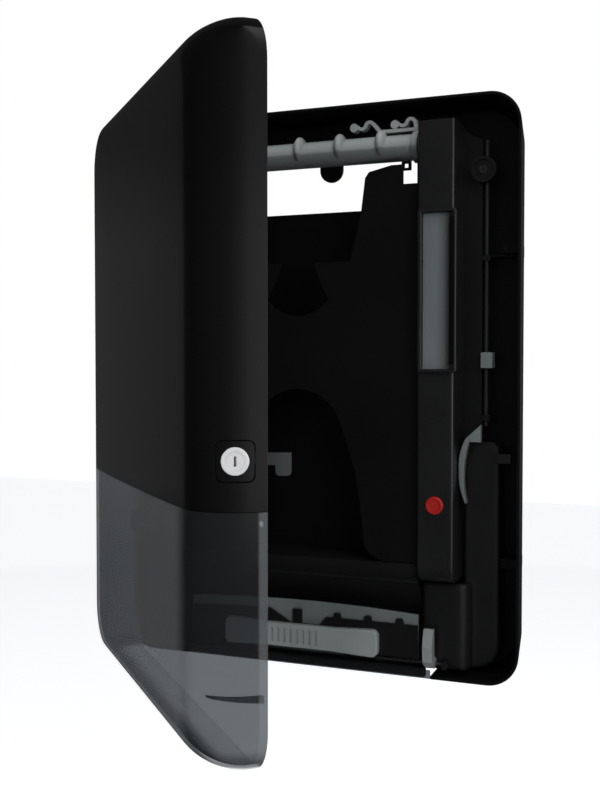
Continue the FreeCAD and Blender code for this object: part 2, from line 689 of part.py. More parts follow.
def retaining_plate():
    """Front plate of the bin, with a keyhole-shaped bite above, an arch below and a side wall."""
    body = new_body("retaining_plate")
    left, right = BIN_LEFT + S.seat_gap, BIN_RIGHT
    foot = S.bin_floor + S.seat_gap
    half = [
        (S.ear_notch, S.plate_top), (S.ear_notch, S.ear_top), (S.ear_notch - 10, S.ear_top),
        (S.ear_inner + 3.6, S.ear_shoulder), (S.ear_inner, S.ear_shoulder - 4.8),
        (S.bite_top_half, S.bite_waist), (S.bite_step_half, S.bite_step),
        (S.neck_half, S.bite_step), (S.neck_half + 3.8, S.neck_low), (S.bowl_half, S.bowl_edge),
    ]
    leg = [
        (S.foot_half, foot), (S.arch_foot_half, S.arch_foot),
        (S.arch_waist_half, S.arch_waist), (S.arch_knee_half, S.arch_knee),
    ]
    bowl = arc_radius(S.bowl_half, S.bowl_edge - S.bowl_bottom)
    arch = arc_radius(S.arch_knee_half, S.arch_top - S.arch_knee)
    points = [(right, foot), (right, S.plate_top)]
    points += [(S.web_centre + x, z) for x, z in half]
    points[-1] += (-bowl,)
    points += [(S.web_centre - x, z) for x, z in reversed(half)]
    points += [(left, S.plate_top), (left, foot)]
    flare = S.foot_flare
    points += [(S.web_centre - x, z) for x, z in leg]
    points[-4] += (flare,)
    points[-1] += (-arch,)
    points += [(S.web_centre + x, z) for x, z in reversed(leg)]
    points[-2] += (flare,)
    sketch = sketch_on(body, "plate_outline", "XZ_Plane", S.plate_front - S.panel_wall)
    outline(sketch, points)
    pad(body, "plate", sketch, S.panel_wall)
    for name, x, depth in (
        ("bin_side", (left, left + S.panel_wall), S.back_wall + S.seat_gap),
        ("bin_return", (right - S.panel_wall, right), S.plate_front - S.return_depth),
    ):
        side = sketch_on(body, f"{name}_outline", "XZ_Plane", depth)
        rectangle(side, x, (foot, S.plate_top))
        pad(body, name, side, S.plate_front - depth)
    subpart("retaining_plate", body)


def outlet_fascia():
    """Floor of the bin with the front fascia and its forward lip, one folded section."""
    body = new_body("outlet_fascia")
    sketch = sketch_on(body, "fascia_section", "YZ_Plane", BIN_LEFT + S.seat_gap)
    front, back = -S.fascia_front, -S.back_wall - S.seat_gap
    wall = S.panel_wall
    outline(sketch, [
        (back, S.bin_floor), (front, S.bin_floor), (front, S.fascia_bottom + wall),
        (-S.fascia_lip, S.fascia_bottom + wall), (-S.fascia_lip, S.fascia_bottom),
        (front + wall, S.fascia_bottom), (front + wall, S.bin_floor - wall), (back, S.bin_floor - wall),
    ])
    pad(body, "fascia_strip", sketch, BIN_RIGHT - BIN_LEFT - S.seat_gap)
    subpart("outlet_fascia", body)


def rear_web_guide():
    """Sloping sheet behind the outlet, from the bin floor down to the bottom wall."""
    body = new_body("rear_web_guide")
    sketch = sketch_on(body, "web_section", "YZ_Plane", BIN_LEFT + 4)
    front, back = -S.plate_front + S.panel_wall, -S.slot_back
    top = S.bin_floor - S.panel_wall
    wall = S.panel_wall
    outline(sketch, [
        (front, top), (front, S.fascia_bottom), (back, S.web_knee),
        (back, WEB_FOOT), (back + wall, WEB_FOOT), (back + wall, S.web_knee + wall * 0.6),
        (front + wall, S.fascia_bottom + wall * 0.6), (front + wall, top),
    ])
    pad(body, "web_sheet", sketch, BIN_RIGHT - BIN_LEFT - 6)
    subpart("rear_web_guide", body)


def outlet_lip():
    """Clear strip across the front of the outlet slot."""
    strip = block(
        "outlet_lip",
        (S.slot_left + S.seat_gap, S.slot_right - S.seat_gap),
        (-RIM, S.lip_thick - RIM),
        (0.2 - HALF_HEIGHT, 0.2 + S.lip_tall - HALF_HEIGHT),
    )
    subpart("outlet_lip", strip)


# Housing: the guide bar over the bin

def top_guide_bar():
    """Ribbed round bar with end flanges and two wavy fingers at each end."""
    y, z = -S.bar_back, S.bar_height
    left = BIN_LEFT + 3
    right = BIN_RIGHT - 3.2
    flange = S.bar_flange_wide
    pieces = [
        bar("bar_core", "X", S.bar_radius, (left, y, z), right - left),
        bar("bar_flange_left", "X", S.bar_flange, (left, y, z), flange),
        bar("bar_flange_right", "X", S.bar_flange, (right - flange, y, z), flange),
        bar("bar_stub", "X", S.bar_stub, (BIN_LEFT + S.seat_gap, y, z), BIN_RIGHT - BIN_LEFT - S.seat_gap),
    ]
    for k in range(-2, 3):
        rib = doc.addObject("Part::Ellipsoid", f"bar_rib_{k + 3}")
        rib.Placement = FreeCAD.Placement(V(0, 0, 0), FreeCAD.Rotation(V(0, 1, 0), 90))
        bind(rib, "Radius1", S.bar_rib_half)
        bind(rib, "Radius2", S.bar_rib_rise)
        bind(rib, "Radius3", S.bar_rib_rise)
        bind(rib, "Placement.Base.x", S.web_centre + S.bar_rib_pitch * k)
        bind(rib, "Placement.Base.y", y - 4.5)
        bind(rib, "Placement.Base.z", z + 4)
        pieces.append(rib)
    fingers = new_body("bar_fingers")
    sketch = sketch_on(fingers, "finger_outlines", "XZ_Plane", S.bar_back - 2)
    flange_middle = right - flange / 2 - S.web_centre
    for turn in (list, mirror):
        for points in (
            finger(S.finger_outer, S.finger_foot, 80, None),
            finger(S.finger_inner, S.finger_drop, 50, flange_middle),
        ):
            outline(sketch, [(S.web_centre + point[0], *point[1:]) for point in turn(points)])
    pad(fingers, "finger_strips", sketch, S.finger_deep)
    pieces.append(fingers)
    subpart("top_guide_bar", fuse("top_guide_bar", *pieces))


def finger(crest, drop, fall, reach):
    """Outline of a wavy finger, from its round tip over a dip and a crest down to its foot.

    The crest and the dip are two bends that meet where their centres line up. With a
    reach, the foot runs on as a flat strip.
    """
    wide, tight = S.finger_bend, S.finger_bend - S.finger_thick
    top = S.bar_height + S.finger_rise

    def about(centre, radius, angle):
        turn = math.radians(angle)
        return centre[0] + radius * math.cos(turn), centre[1] + radius * math.sin(turn)

    over = (crest, top - wide)
    meet = 180 - S.finger_lean.number
    under = about(over, wide + tight, meet)
    tip = (under[0] - wide - S.finger_tip / 2, under[1] - tight)
    slope = 1 / math.tan(math.radians(fall))
    outer, inner = about(over, wide, 90 - fall), about(over, tight, 90 - fall)
    low = top - drop if reach is None else top - drop - S.finger_thick
    foot = [(inner[0] + (inner[1] - low) * slope, low)]
    if reach is not None:
        foot += [(reach, low), (reach, top - drop)]
    foot.append((outer[0] + (outer[1] - top + drop) * slope, top - drop))
    return [
        about(tip, S.finger_tip, -55), (*about(under, wide, 225), wide),
        (*about(over, tight, meet), -tight), inner, *foot, (*outer, wide),
        (*about(over, wide, meet), -tight), about(under, tight, 225),
        (*about(tip, S.finger_tip, 25), S.finger_tip), (*about(tip, S.finger_tip, 180), S.finger_tip),
    ]


# Housing: door hinges, lock keeper and small fittings

def hinge_bracket(node, level):
    """Two plates above and below the door's knuckle, joined by a foot on the left chassis."""
    body = new_body(node)
    post_left, post_right = HINGE_X + S.bracket_post, HINGE_X + S.bracket_post + S.bracket_post_wide
    seat = -S.left_front
    top = HINGE_Y + S.knuckle_radius
    for name, low in (
        ("lower", level - BRACKET_HALF),
        ("upper", level + S.knuckle_height / 2 + S.seat_gap),
    ):
        sketch = sketch_on(body, f"{node}_{name}_outline", "XY_Plane", low)
        radius = S.knuckle_radius
        outline(sketch, [
            (HINGE_X, HINGE_Y - radius), (post_right, HINGE_Y - radius), (post_right, seat),
            (post_left, seat), (post_left, top), (HINGE_X, top, radius),
        ])
        circle(sketch, HINGE_X, HINGE_Y, S.pin_radius)
        pad(body, f"{node}_{name}_plate", sketch, S.bracket_plate)
    foot = sketch_on(body, f"{node}_foot_outline", "XY_Plane", level - BRACKET_HALF)
    rectangle(foot, (post_left, post_right + S.bracket_post_wide), (seat - S.panel_wall, seat))
    pad(body, f"{node}_foot", foot, BRACKET_HALF * 2)
    subpart(node, body)


def hinge_pins():
    """The two hinge pins, pressed into their brackets."""
    pins = []
    for k, level in enumerate((S.hinge_height, -S.hinge_height), 1):
        place = (HINGE_X, HINGE_Y, level - BRACKET_HALF)
        pins.append(bar(f"hinge_pin_{k}", "Z", S.pin_radius, place, BRACKET_HALF * 2))
    subpart("hinge_pins", group("hinge_pins", *pins))


def lock_keeper():
    """Catch plate for the lock cam, on a stem from the back wall."""
    catch = block(
        "keeper_catch",
        (S.keeper_left, S.keeper_left + S.keeper_wide),
        (-S.keeper_front, S.keeper_thick - S.keeper_front),
        (S.keeper_top - S.keeper_tall, S.keeper_top),
    )
    stem_left = S.cover_right + 0.4
    stem = block(
        "keeper_stem",
        (stem_left, stem_left + S.keeper_stem),
        (-S.keeper_front + 1, -S.back_wall),
        (S.keeper_top - S.keeper_tall, S.keeper_top - 2),
    )
    subpart("lock_keeper", fuse("lock_keeper", catch, stem))


def lever_pin():
    """Shouldered pin that carries the release lever, pressed into the right chassis."""
    front = S.lever_back + S.lever_bore - 0.2
    shoulder = S.lever_back - S.seat_gap
    x, z = S.lever_pin_x, S.lever_pin_z
    shank = bar("pin_shank", "Y", S.lever_pin_radius, (x, -front, z), front - S.chassis_front + S.panel_wall)
    collar = bar("pin_collar", "Y", S.lever_collar, (x, -shoulder, z), shoulder - S.chassis_front)
    subpart("lever_pin", fuse("lever_pin", shank, collar))


def rod_retainer():
    """Round stepped boss in front of the top of the release rod."""
    face = bar(
        "retainer_face", "Y", S.retainer_radius,
        (RETAINER_X, -S.retainer_front, S.retainer_height), S.retainer_rim,
    )
    seat = bar(
        "retainer_seat", "Y", S.retainer_radius - 2,
        (RETAINER_X, -S.retainer_front, S.retainer_height), S.retainer_front - S.chassis_front,
    )
    well = bar(
        "retainer_well", "Y", S.retainer_well,
        (RETAINER_X, -S.retainer_front, S.retainer_height), S.retainer_step,
    )
    hole = bar(
        "retainer_hole", "Y", S.small_shank,
        (RETAINER_X, -S.retainer_front, S.retainer_height), S.retainer_front - S.chassis_front,
    )
    subpart("rod_retainer", cut("rod_retainer", fuse("retainer_disc", face, seat), well, hole))


def cross_screw(name, place, radius, length):
    """A pan screw facing forward: head, shank and a cross recess."""
    x, y, z = place
    head = bar(f"{name}_head", "Y", radius, (x, y - S.small_head_thick, z), S.small_head_thick)
    shank = bar(f"{name}_shank", "Y", S.small_shank, (x, y, z), length)
    half, slit = radius * 0.6, S.small_head_thick / 4
    front = (y - S.small_head_thick, y - S.small_head_thick / 3)
    recess = [
        block(f"{name}_slot_across", (x - half, x + half), front, (z - slit, z + slit)),
        block(f"{name}_slot_upright", (x - slit, x + slit), front, (z - half, z + half)),
    ]
    return cut(f"{name}_body", fuse(f"{name}_blank", head, shank), *recess)


def retainer_screw():
    """Screw seated in the boss's round well."""
    front = S.retainer_front - S.retainer_step
    screw = cross_screw(
        "retainer_screw", (RETAINER_X, -front, S.retainer_height), S.small_head, front - S.chassis_front,
    )
    subpart("retainer_screw", screw)


def ledge_screws():
    """Screws in the two side ledges."""
    screws = []
    for k, level in enumerate((S.ledge_upper, S.ledge_lower), 1):
        place = (S.ledge_screw_x, -S.ledge_front, level)
        screws.append(cross_screw(f"ledge_screw_{k}", place, S.ledge_head, S.small_screw_length))
    subpart("ledge_screws", group("ledge_screws", *screws))


def button_guide():
    """Cup behind the column face that guides the button."""
    start = (BUTTON_X, S.cover_wall - S.column_front, S.button_height)
    outer = bar("guide_outer", "Y", S.button_radius + 2.5, start, S.guide_cup)
    bore = bar("guide_bore", "Y", S.button_radius + S.running_gap, start, S.guide_cup - S.panel_wall)
    subpart("button_guide", cut("button_guide", outer, bore))


def button_spring():
    """Return spring of the button, drawn as the tube that it fills."""
    back = S.cover_wall - S.column_front + S.guide_cup - S.panel_wall
    front = BUTTON_BACK + S.button_travel
    place = (BUTTON_X, front, S.button_height)
    outer = bar("spring_outer", "Y", S.button_radius - 2.5, place, back - front)
    inner = bar("spring_inner", "Y", S.button_radius - 4, place, back - front)
    subpart("button_spring", cut("button_spring", outer, inner))


def rod_guide(node, level):
    """Eyelet on the chassis side that guides the release rod."""
    lug = block(
        f"{node}_lug",
        (S.chassis_right, S.rod_x + S.rod_radius + S.panel_wall),
        (-S.rod_y - S.rod_radius - 1.5, S.rod_radius + 1.5 - S.rod_y),
        (size(level) - S.guide_half, size(level) + S.guide_half),
    )
    bore = bar(
        f"{node}_bore", "Z", S.rod_radius + S.running_gap,
        (S.rod_x, -S.rod_y, size(level) - S.guide_half), S.guide_half * 2,
    )
    subpart(node, cut(node, lug, bore))


def gate_bearing(node, left, back):
    """Bearing block for one end of the gate shaft."""
    lug = block(
        f"{node}_lug",
        (left, size(left) + S.bearing_wide),
        (-S.gate_axis_y - S.bearing_half, -size(back)),
        (S.gate_axis_z - S.bearing_half, S.gate_axis_z + S.bearing_half),
    )
    bore = bar(
        f"{node}_bore", "X", S.gate_shaft + S.running_gap,
        (left, -S.gate_axis_y, S.gate_axis_z), S.bearing_wide,
    )
    subpart(node, cut(node, lug, bore))


# Door: two shells cut from one lofted skin

ROUND_STEPS = (0, 14, 30, 46, 62, 78, 90)
CROWN_STEPS = (0.7, 0.4)
SIDE_POWER = 1.76
END_POWER = 2.156


def door_skin(name, wall, start):
    """The door's outside, or its inside when a wall is given, lofted through sections."""
    body = new_body(name)
    depth = S.door_depth - S.door_crown - S.door_lip
    side, end = S.door_side_round - wall, S.door_end_round - wall
    back = RIM + S.door_gap

    def section(label, reach, cut_x, cut_z, corner):
        sketch = sketch_on(body, f"{name}_{label}", "XZ_Plane", back + reach)
        half_x = HALF_WIDTH - wall - cut_x
        half_z = HALF_HEIGHT - wall - cut_z
        rounded(sketch, (-half_x, half_x), (-half_z, half_z), corner)
        return sketch

    lip = section("edge", start, 0, 0, S.door_corner - wall)
    pad(body, f"{name}_lip", lip, S.door_lip - start)
    sections = []
    for angle in ROUND_STEPS:
        q = math.radians(angle)
        along = math.sin(q) ** (2 / SIDE_POWER)
        share_x = 1 - math.cos(q) ** (2 / SIDE_POWER)
        share_z = 1 - math.cos(q) ** (2 / END_POWER)
        corner = S.door_corner - (S.door_corner - S.door_front_corner) * (angle / 90) - wall
        sections.append(section(
            f"round_{angle}", S.door_lip + (depth - wall) * along, side * share_x, end * share_z, corner,
        ))
    loft(body, f"{name}_round", "Additive", sections, False)
    crown = [sections[-1]]
    for share in CROWN_STEPS:
        rise = (1 - share * share) / (1 - CROWN_STEPS[-1] ** 2)
        flat_x = HALF_WIDTH - S.door_side_round
        flat_z = HALF_HEIGHT - S.door_end_round
        crown.append(section(
            f"crown_{int(share * 100)}", S.door_lip + depth - wall + S.door_crown * rise,
            side + flat_x * (1 - share), end + flat_z * (1 - share), (S.door_front_corner - wall) * share,
        ))
    loft(body, f"{name}_crown", "Additive", crown, True)
    return body


def door_shells():
    """Upper opaque shell and lower smoked shell, with the lock's plate let into the side."""
    outer = door_skin("door_outside", size(0), size(0))
    inner = door_skin("door_inside", S.door_wall, size(-1))
    skin = cut("door_skin", outer, inner)
    hole = lock_plate_form("lock_plate_hole", S.plate_gap, -S.lock_depth / 2, S.lock_depth / 4)
    wide = (-HALF_WIDTH - 1, HALF_WIDTH + 1)
    deep = (-RIM - S.door_depth - 1, -RIM + 1)
    above = block("above_join", wide, deep, (S.smoked_line + S.seat_gap / 2, HALF_HEIGHT + 1))
    below = block("below_join", wide, deep, (-HALF_HEIGHT - 1, S.smoked_line - S.seat_gap / 2))
    upper = cut("door_upper_shell", common("upper_skin", skin, above), at_lock("lock_hole", hole))
    rib = block(
        "free_side_rib",
        (HALF_WIDTH - S.shell_rib_wide, HALF_WIDTH),
        (-S.shell_rib_front, -RIM - 2),
        (S.shell_rib_height, S.shell_rib_height + S.panel_wall),
    )
    trimmed = common("free_side_rib_trimmed", rib, outer)
    lower = fuse("door_lower_shell", common("lower_skin", skin, below), trimmed)
    on_door("door_upper_shell", upper)
    on_door("door_lower_shell", lower)
    return outer


def door_hinge_arm(node, level):
    """Knuckle and web that carry the door on one hinge pin."""
    body = new_body(node)
    sketch = sketch_on(body, f"{node}_outline", "XY_Plane", size(level) - S.knuckle_height / 2)
    radius = S.knuckle_radius
    wall = S.door_wall + 0.2 - HALF_WIDTH
    outline(sketch, [
        (HINGE_X, HINGE_Y - radius, radius), (HINGE_X, HINGE_Y + radius),
        (wall, HINGE_Y + radius - 1.5), (wall, HINGE_Y - radius + 1.5),
    ])
    circle(sketch, HINGE_X, HINGE_Y, S.pin_radius + S.running_gap)
    pad(body, f"{node}_knuckle", sketch, S.knuckle_height)
    on_door(node, body)


def lock_escutcheon(outer):
    """Plate flush with the door's side, with a sleeve behind it for the lock barrel."""
    plate = lock_plate_form("escutcheon_block", size(0), -S.door_wall - 1.5, S.door_wall)
    face = common("escutcheon_face", at_lock("escutcheon_blank", plate), outer)
    foot = (0, 0, -S.sleeve_length)
    sleeve = bar("escutcheon_sleeve", "Z", S.lock_face, foot, S.sleeve_length - S.door_wall)
    seat = bar("escutcheon_seat", "Z", S.lock_face + S.running_gap, (0, 0, -S.lock_rim), S.lock_rim * 4)
    bore = bar("escutcheon_bore", "Z", S.lock_barrel + S.running_gap, foot, S.sleeve_length * 2)
    holes = at_lock("escutcheon_holes", seat, bore)
    solid = fuse("escutcheon_solid", face, at_lock("escutcheon_sleeve_placed", sleeve))
    on_door("lock_escutcheon", cut("lock_escutcheon", solid, holes))


def lock_plate_form(name, gap, low, high):
    """Round-cornered block about the lock's own axes, wider than the plate by the gap."""
    body = new_body(name)
    sketch = sketch_on(body, f"{name}_outline", "XY_Plane", low)
    half_x, half_y = S.plate_wide / 2 + gap, S.plate_tall / 2 + gap
    rounded(sketch, (-half_x, half_x), (-half_y, half_y), S.plate_corner)
    pad(body, f"{name}_pad", sketch, high - low)
    return body


def at_lock(name, *pieces):
    """Gather pieces drawn about the lock's own axes and place them on the closed door."""
    gathered = group(name, *pieces)
    gathered.Placement = LOCK
    return gathered


# Lock: cylinder, cam and its screw, drawn about the lock's own axes

def lock_cylinder():
    """Barrel with a round face and a key slot."""
    body = new_body("lock_cylinder")
    barrel = sketch_on(body, "barrel_outline", "XY_Plane", -S.lock_length)
    circle(barrel, 0, 0, S.lock_barrel)
    pad(body, "barrel", barrel, S.lock_length)
    face = sketch_on(body, "lock_face_outline", "XY_Plane", S.seat_gap - S.lock_rim)
    circle(face, 0, 0, S.lock_face)
    pad(body, "lock_face_disc", face, S.lock_rim + S.lock_proud - S.seat_gap)
    round_edges(
        body, "lock_face_round", 0.6,
        lambda middle, way: near(middle.z, S.lock_proud),
    )
    dish = sketch_on(body, "lock_dish_outline", "XY_Plane", S.lock_proud)
    circle(dish, 0, 0, S.lock_face * 0.7)
    pocket(body, "lock_dish", dish, 0.4)
    slot = sketch_on(body, "key_slot_outline", "XY_Plane", S.lock_proud)
    rectangle(slot, (-S.key_slot / 2, S.key_slot / 2), (-S.key_slot * 2, S.key_slot * 2))
    pocket(body, "key_slot", slot, S.lock_length / 2)
    tail = sketch_on(body, "screw_socket_outline", "XY_Plane", -S.lock_length)
    circle(tail, 0, 0, S.small_shank)
    pocket(body, "screw_socket", tail, S.small_screw_length - S.cam_thick, forward=True)
    on_door("lock_cylinder", body, LOCK)


def lock_cam():
    """Cam arm behind the barrel, with a lobe that turns behind the keeper."""
    body = new_body("lock_cam")
    sketch = sketch_on(body, "cam_outline", "XY_Plane", -S.lock_length - S.cam_thick)
    half = S.cam_half
    outline(sketch, [
        (0, -half), (S.cam_shoulder, -half), (S.cam_shoulder, S.cam_thick - S.cam_drop, S.cam_thick),
        (S.cam_shoulder + S.cam_thick, -S.cam_drop), (S.cam_reach - S.cam_thick, -S.cam_drop, S.cam_thick),
        (S.cam_reach, S.cam_thick - S.cam_drop), (S.cam_reach, half), (0, half, half + 1),
    ])
    circle(sketch, 0, 0, S.small_shank)
    pad(body, "cam_plate", sketch, S.cam_thick)
    on_door("lock_cam", body, LOCK)


def cam_screw():
    """Screw that holds the cam on the barrel."""
    body = new_body("cam_screw")
    back = S.lock_length + S.cam_thick
    head = sketch_on(body, "cam_screw_head_outline", "XY_Plane", -back - S.small_head_thick)
    circle(head, 0, 0, S.small_head)
    pad(body, "cam_screw_head", head, S.small_head_thick)
    shank = sketch_on(body, "cam_screw_shank_outline", "XY_Plane", -back)
    circle(shank, 0, 0, S.small_shank)
    pad(body, "cam_screw_shank", shank, S.small_screw_length)
    slit = sketch_on(body, "cam_screw_slot_outline", "XY_Plane", -back - S.small_head_thick)
    rectangle(slit, (-S.small_head, S.small_head), (-0.4, 0.4))
    pocket(body, "cam_screw_slot", slit, S.small_head_thick / 2, forward=True)
    on_door("cam_screw", body, LOCK)


# Button

def red_button():
    """Round button with a dished face and a wider foot inside the column."""
    body = new_body("red_button")
    back = S.column_front - S.button_deep
    sketch = sketch_on(body, "button_outline", "XZ_Plane", back)
    circle(sketch, BUTTON_X, S.button_height, S.button_radius)
    pad(body, "button_body", sketch, S.button_deep + S.button_proud)
    round_edges(
        body, "button_edge", 0.8,
        lambda middle, way: near(middle.y, -S.column_front - S.button_proud),
    )
    ring = sketch_on(body, "button_dish_outline", "XZ_Plane", S.column_front + S.button_proud)
    circle(ring, BUTTON_X, S.button_height, S.button_radius * 0.66)
    pocket(body, "button_dish", ring, 0.5)
    subpart("red_button", body)


# Release lever and rod

def release_lever():
    """Sickle-shaped finger lever with a pointed shoulder and a blind bore for its pin."""
    body = new_body("release_lever")
    sketch = sketch_on(body, "lever_outline", "XZ_Plane", S.lever_back)
    pivot = S.lever_pin_z
    heel, low = pivot - S.lever_heel, pivot - S.lever_low
    outline(sketch, [
        (S.lever_right, heel), (S.lever_right, pivot + S.lever_peak),
        (S.lever_neck, pivot - S.lever_shoulder, S.lever_upper_bow),
        (S.lever_left, pivot - S.lever_middle, S.lever_lower_bow), (S.lever_end, low),
        (S.lever_end + S.lever_end_wide, low + S.lever_end_wide, -S.lever_inner_bow),
        (S.lever_inner, heel),
    ])
    pad(body, "lever_plate", sketch, S.lever_deep)
    front = -S.lever_back - S.lever_deep
    round_edges(body, "lever_edges", S.lever_round, lambda middle, way: near(middle.y, front))
    bore = sketch_on(body, "lever_bore_outline", "XZ_Plane", S.lever_back)
    circle(bore, S.lever_pin_x, S.lever_pin_z, S.lever_pin_radius + S.running_gap)
    pocket(body, "lever_bore", bore, S.lever_bore, forward=True)
    subpart("release_lever", body)


def release_rod():
    """Long upright rod beside the column, with rounded ends."""
    body = new_body("release_rod")
    sketch = sketch_on(body, "rod_outline", "XY_Plane", S.rod_bottom)
    circle(sketch, S.rod_x, -S.rod_y, S.rod_radius)
    pad(body, "rod_bar", sketch, S.rod_top - S.rod_bottom)
    round_edges(body, "rod_ends", 0.5, lambda middle, way: abs(way.z) < 0.1)
    subpart("release_rod", body)


def rod_tab():
    """Finger tab pressed on the rod."""
    lug = block(
        "rod_tab_block",
        (S.rod_x - S.tab_left, S.rod_x + S.tab_reach),
        (-S.rod_y - S.tab_deep, S.rod_radius + 1.2 - S.rod_y),
        (S.tab_low, S.tab_high),
    )
    clear = block(
        "rod_tab_relief",
        (S.rod_x - S.tab_left - 1, S.chassis_right + 0.5),
        (-S.chassis_front - 0.5, -S.rod_y + S.rod_radius + 2),
        (S.tab_low - 1, S.tab_high + 1),
    )
    bore = bar("rod_tab_bore", "Z", S.rod_radius, (S.rod_x, -S.rod_y, S.tab_low), S.tab_high - S.tab_low)
    subpart("rod_tab", cut("rod_tab", lug, clear, bore))


# Outlet gate, turning on its shaft

def gate_guide():
    """Wide curved-topped sheet at the back of the gate."""
    body = new_body("gate_guide")
    left, right = GATE_LEFT + S.bearing_wide + 0.5, S.column_left - 2.5
    sketch = sketch_on(body, "guide_outline", "XZ_Plane", S.gate_axis_y - 1.5)
    ends = S.guide_top - S.guide_sag
    rise = arc_radius((right - left) / 2, S.guide_sag)
    outline(sketch, [(left, GATE_FOOT), (right, GATE_FOOT), (right, ends, rise), (left, ends)])
    pad(body, "guide_sheet", sketch, S.sheet_thick)
    subpart("gate_guide", body)


def gate_plate():
    """Front plate of the gate: two wings beside a low middle, with three tabs on the right."""
    body = new_body("gate_plate")
    front = S.gate_axis_y - 1.5 + S.sheet_thick + 0.2
    left, right = S.slot_left + 4, S.column_left - 2.5
    middle, crest = S.handle_top - S.clip_foot - S.seat_gap, S.wing_top + S.tab_rise
    tabs = []
    for k in range(3):
        start = S.tab_start - S.tab_pitch * k
        end = start - S.tab_wide
        tabs += [
            (start, S.wing_top), (start - S.tab_slope, crest),
            (end + S.tab_slope, crest), (end, S.wing_top),
        ]
    sketch = sketch_on(body, "gate_plate_outline", "XZ_Plane", front)
    outline(sketch, [(left, GATE_FOOT), (right, GATE_FOOT), (right, S.wing_top)] + tabs + [
        (S.wing_right, S.wing_top), (S.dip_right, middle), (S.dip_left, middle),
        (S.wing_left, S.wing_top + 4), (left, S.wing_top + 1),
    ])
    pad(body, "gate_plate_sheet", sketch, S.sheet_thick)
    subpart("gate_plate", body)


def gate_handle():
    """Wide grip with a narrower waist and a row of grip ribs."""
    body = new_body("gate_handle")
    back = S.gate_axis_y + S.handle_stand
    left, right = S.handle_centre - S.handle_half, S.handle_centre + S.handle_half
    low, top = S.handle_bottom, S.handle_top
    corner, waist = S.handle_corner, S.handle_waist
    neck = S.handle_half * 0.45
    sketch = sketch_on(body, "handle_outline", "XZ_Plane", back)
    outline(sketch, [
        (left + corner, low), (S.handle_centre - neck, low + waist), (S.handle_centre + neck, low + waist),
        (right - corner, low, corner), (right, low + corner), (right, top - corner, corner),
        (right - corner, top), (S.handle_centre + neck, top - waist), (S.handle_centre - neck, top - waist),
        (left + corner, top, corner), (left, top - corner), (left, low + corner, corner),
    ])
    pad(body, "handle_bar", sketch, S.handle_deep)
    round_edges(
        body, "handle_edges", S.handle_deep / 4,
        lambda middle, way: near(middle.y, -back - S.handle_deep),
    )
    grips = sketch_on(body, "handle_grips_outline", "XZ_Plane", back + S.handle_deep)
    for k in range(8):
        at = S.handle_centre - S.grip_half + S.grip_pitch * k
        rectangle(grips, (at, at + S.grip_pitch / 3), (low + corner, top - corner))
    pocket(body, "handle_grips", grips, 1)
    subpart("gate_handle", body)


def gate_shaft():
    """Round shaft that the gate turns on."""
    start = GATE_LEFT + S.seat_gap
    length = GATE_RIGHT + S.bearing_wide - start
    shaft = bar("gate_shaft", "X", S.gate_shaft, (start, -S.gate_axis_y, S.gate_axis_z), length)
    subpart("gate_shaft", shaft)


def gate_end_arm():
    """Faceted arm on the right end of the shaft."""
    body = new_body("gate_end_arm")
    y, z = -S.gate_axis_y, S.gate_axis_z
    sketch = sketch_on(body, "arm_profile", "YZ_Plane", S.arm_left)
    back, front = y + S.arm_back, -S.arm_front
    sole = z - S.arm_back
    crown = z + S.arm_tall
    outline(sketch, [
        (back, z - S.arm_back / 2), (back, z + S.arm_step / 2),
        (y - S.arm_step / 2, z + S.arm_step), (y - S.arm_step / 2, crown),
        (front + S.arm_slope / 2, crown), (front + S.arm_bevel, crown - S.arm_slope),
        (front, z + S.arm_nose), (front + S.arm_bevel, z + S.arm_back),
        (y - S.arm_back, sole), (y + S.arm_back / 3, sole),
    ])
    circle(sketch, y, z, S.gate_shaft)
    pad(body, "arm_block", sketch, S.arm_wide)
    subpart("gate_end_arm", body)


def gate_clip():
    """Small clip standing above the handle."""
    front = S.gate_axis_y - 1.5 + S.sheet_thick + 0.2
    low = S.handle_top - S.clip_foot
    right = S.clip_left + S.clip_wide
    clip = block("clip_plate", (S.clip_left, right), (-front - 2, -front), (low, S.clip_top))
    hook = block(
        "clip_hook",
        (S.clip_left + 1.5, right - 1.5),
        (-front - 4, -front - 1),
        (S.clip_top - 3, S.clip_top),
    )
    subpart("gate_clip", fuse("gate_clip", clip, hook))


def shaft_clips():
    """Four collars on the shaft, two on each side of the middle."""
    collars = []
    for side in (1, -1):
        for k, offset in enumerate((S.collar_inner, S.collar_outer)):
            start = S.web_centre + offset * side - S.collar_wide / 2
            place = (start, -S.gate_axis_y, S.gate_axis_z)
            outer = bar(f"collar_{k}_{side + 1}_outer", "X", S.gate_shaft + 1, place, S.collar_wide)
            inner = bar(f"collar_{k}_{side + 1}_bore", "X", S.gate_shaft, place, S.collar_wide)
            collars.append(cut(f"collar_{k}_{side + 1}", outer, inner))
    subpart("shaft_clips", group("shaft_clips", *collars))


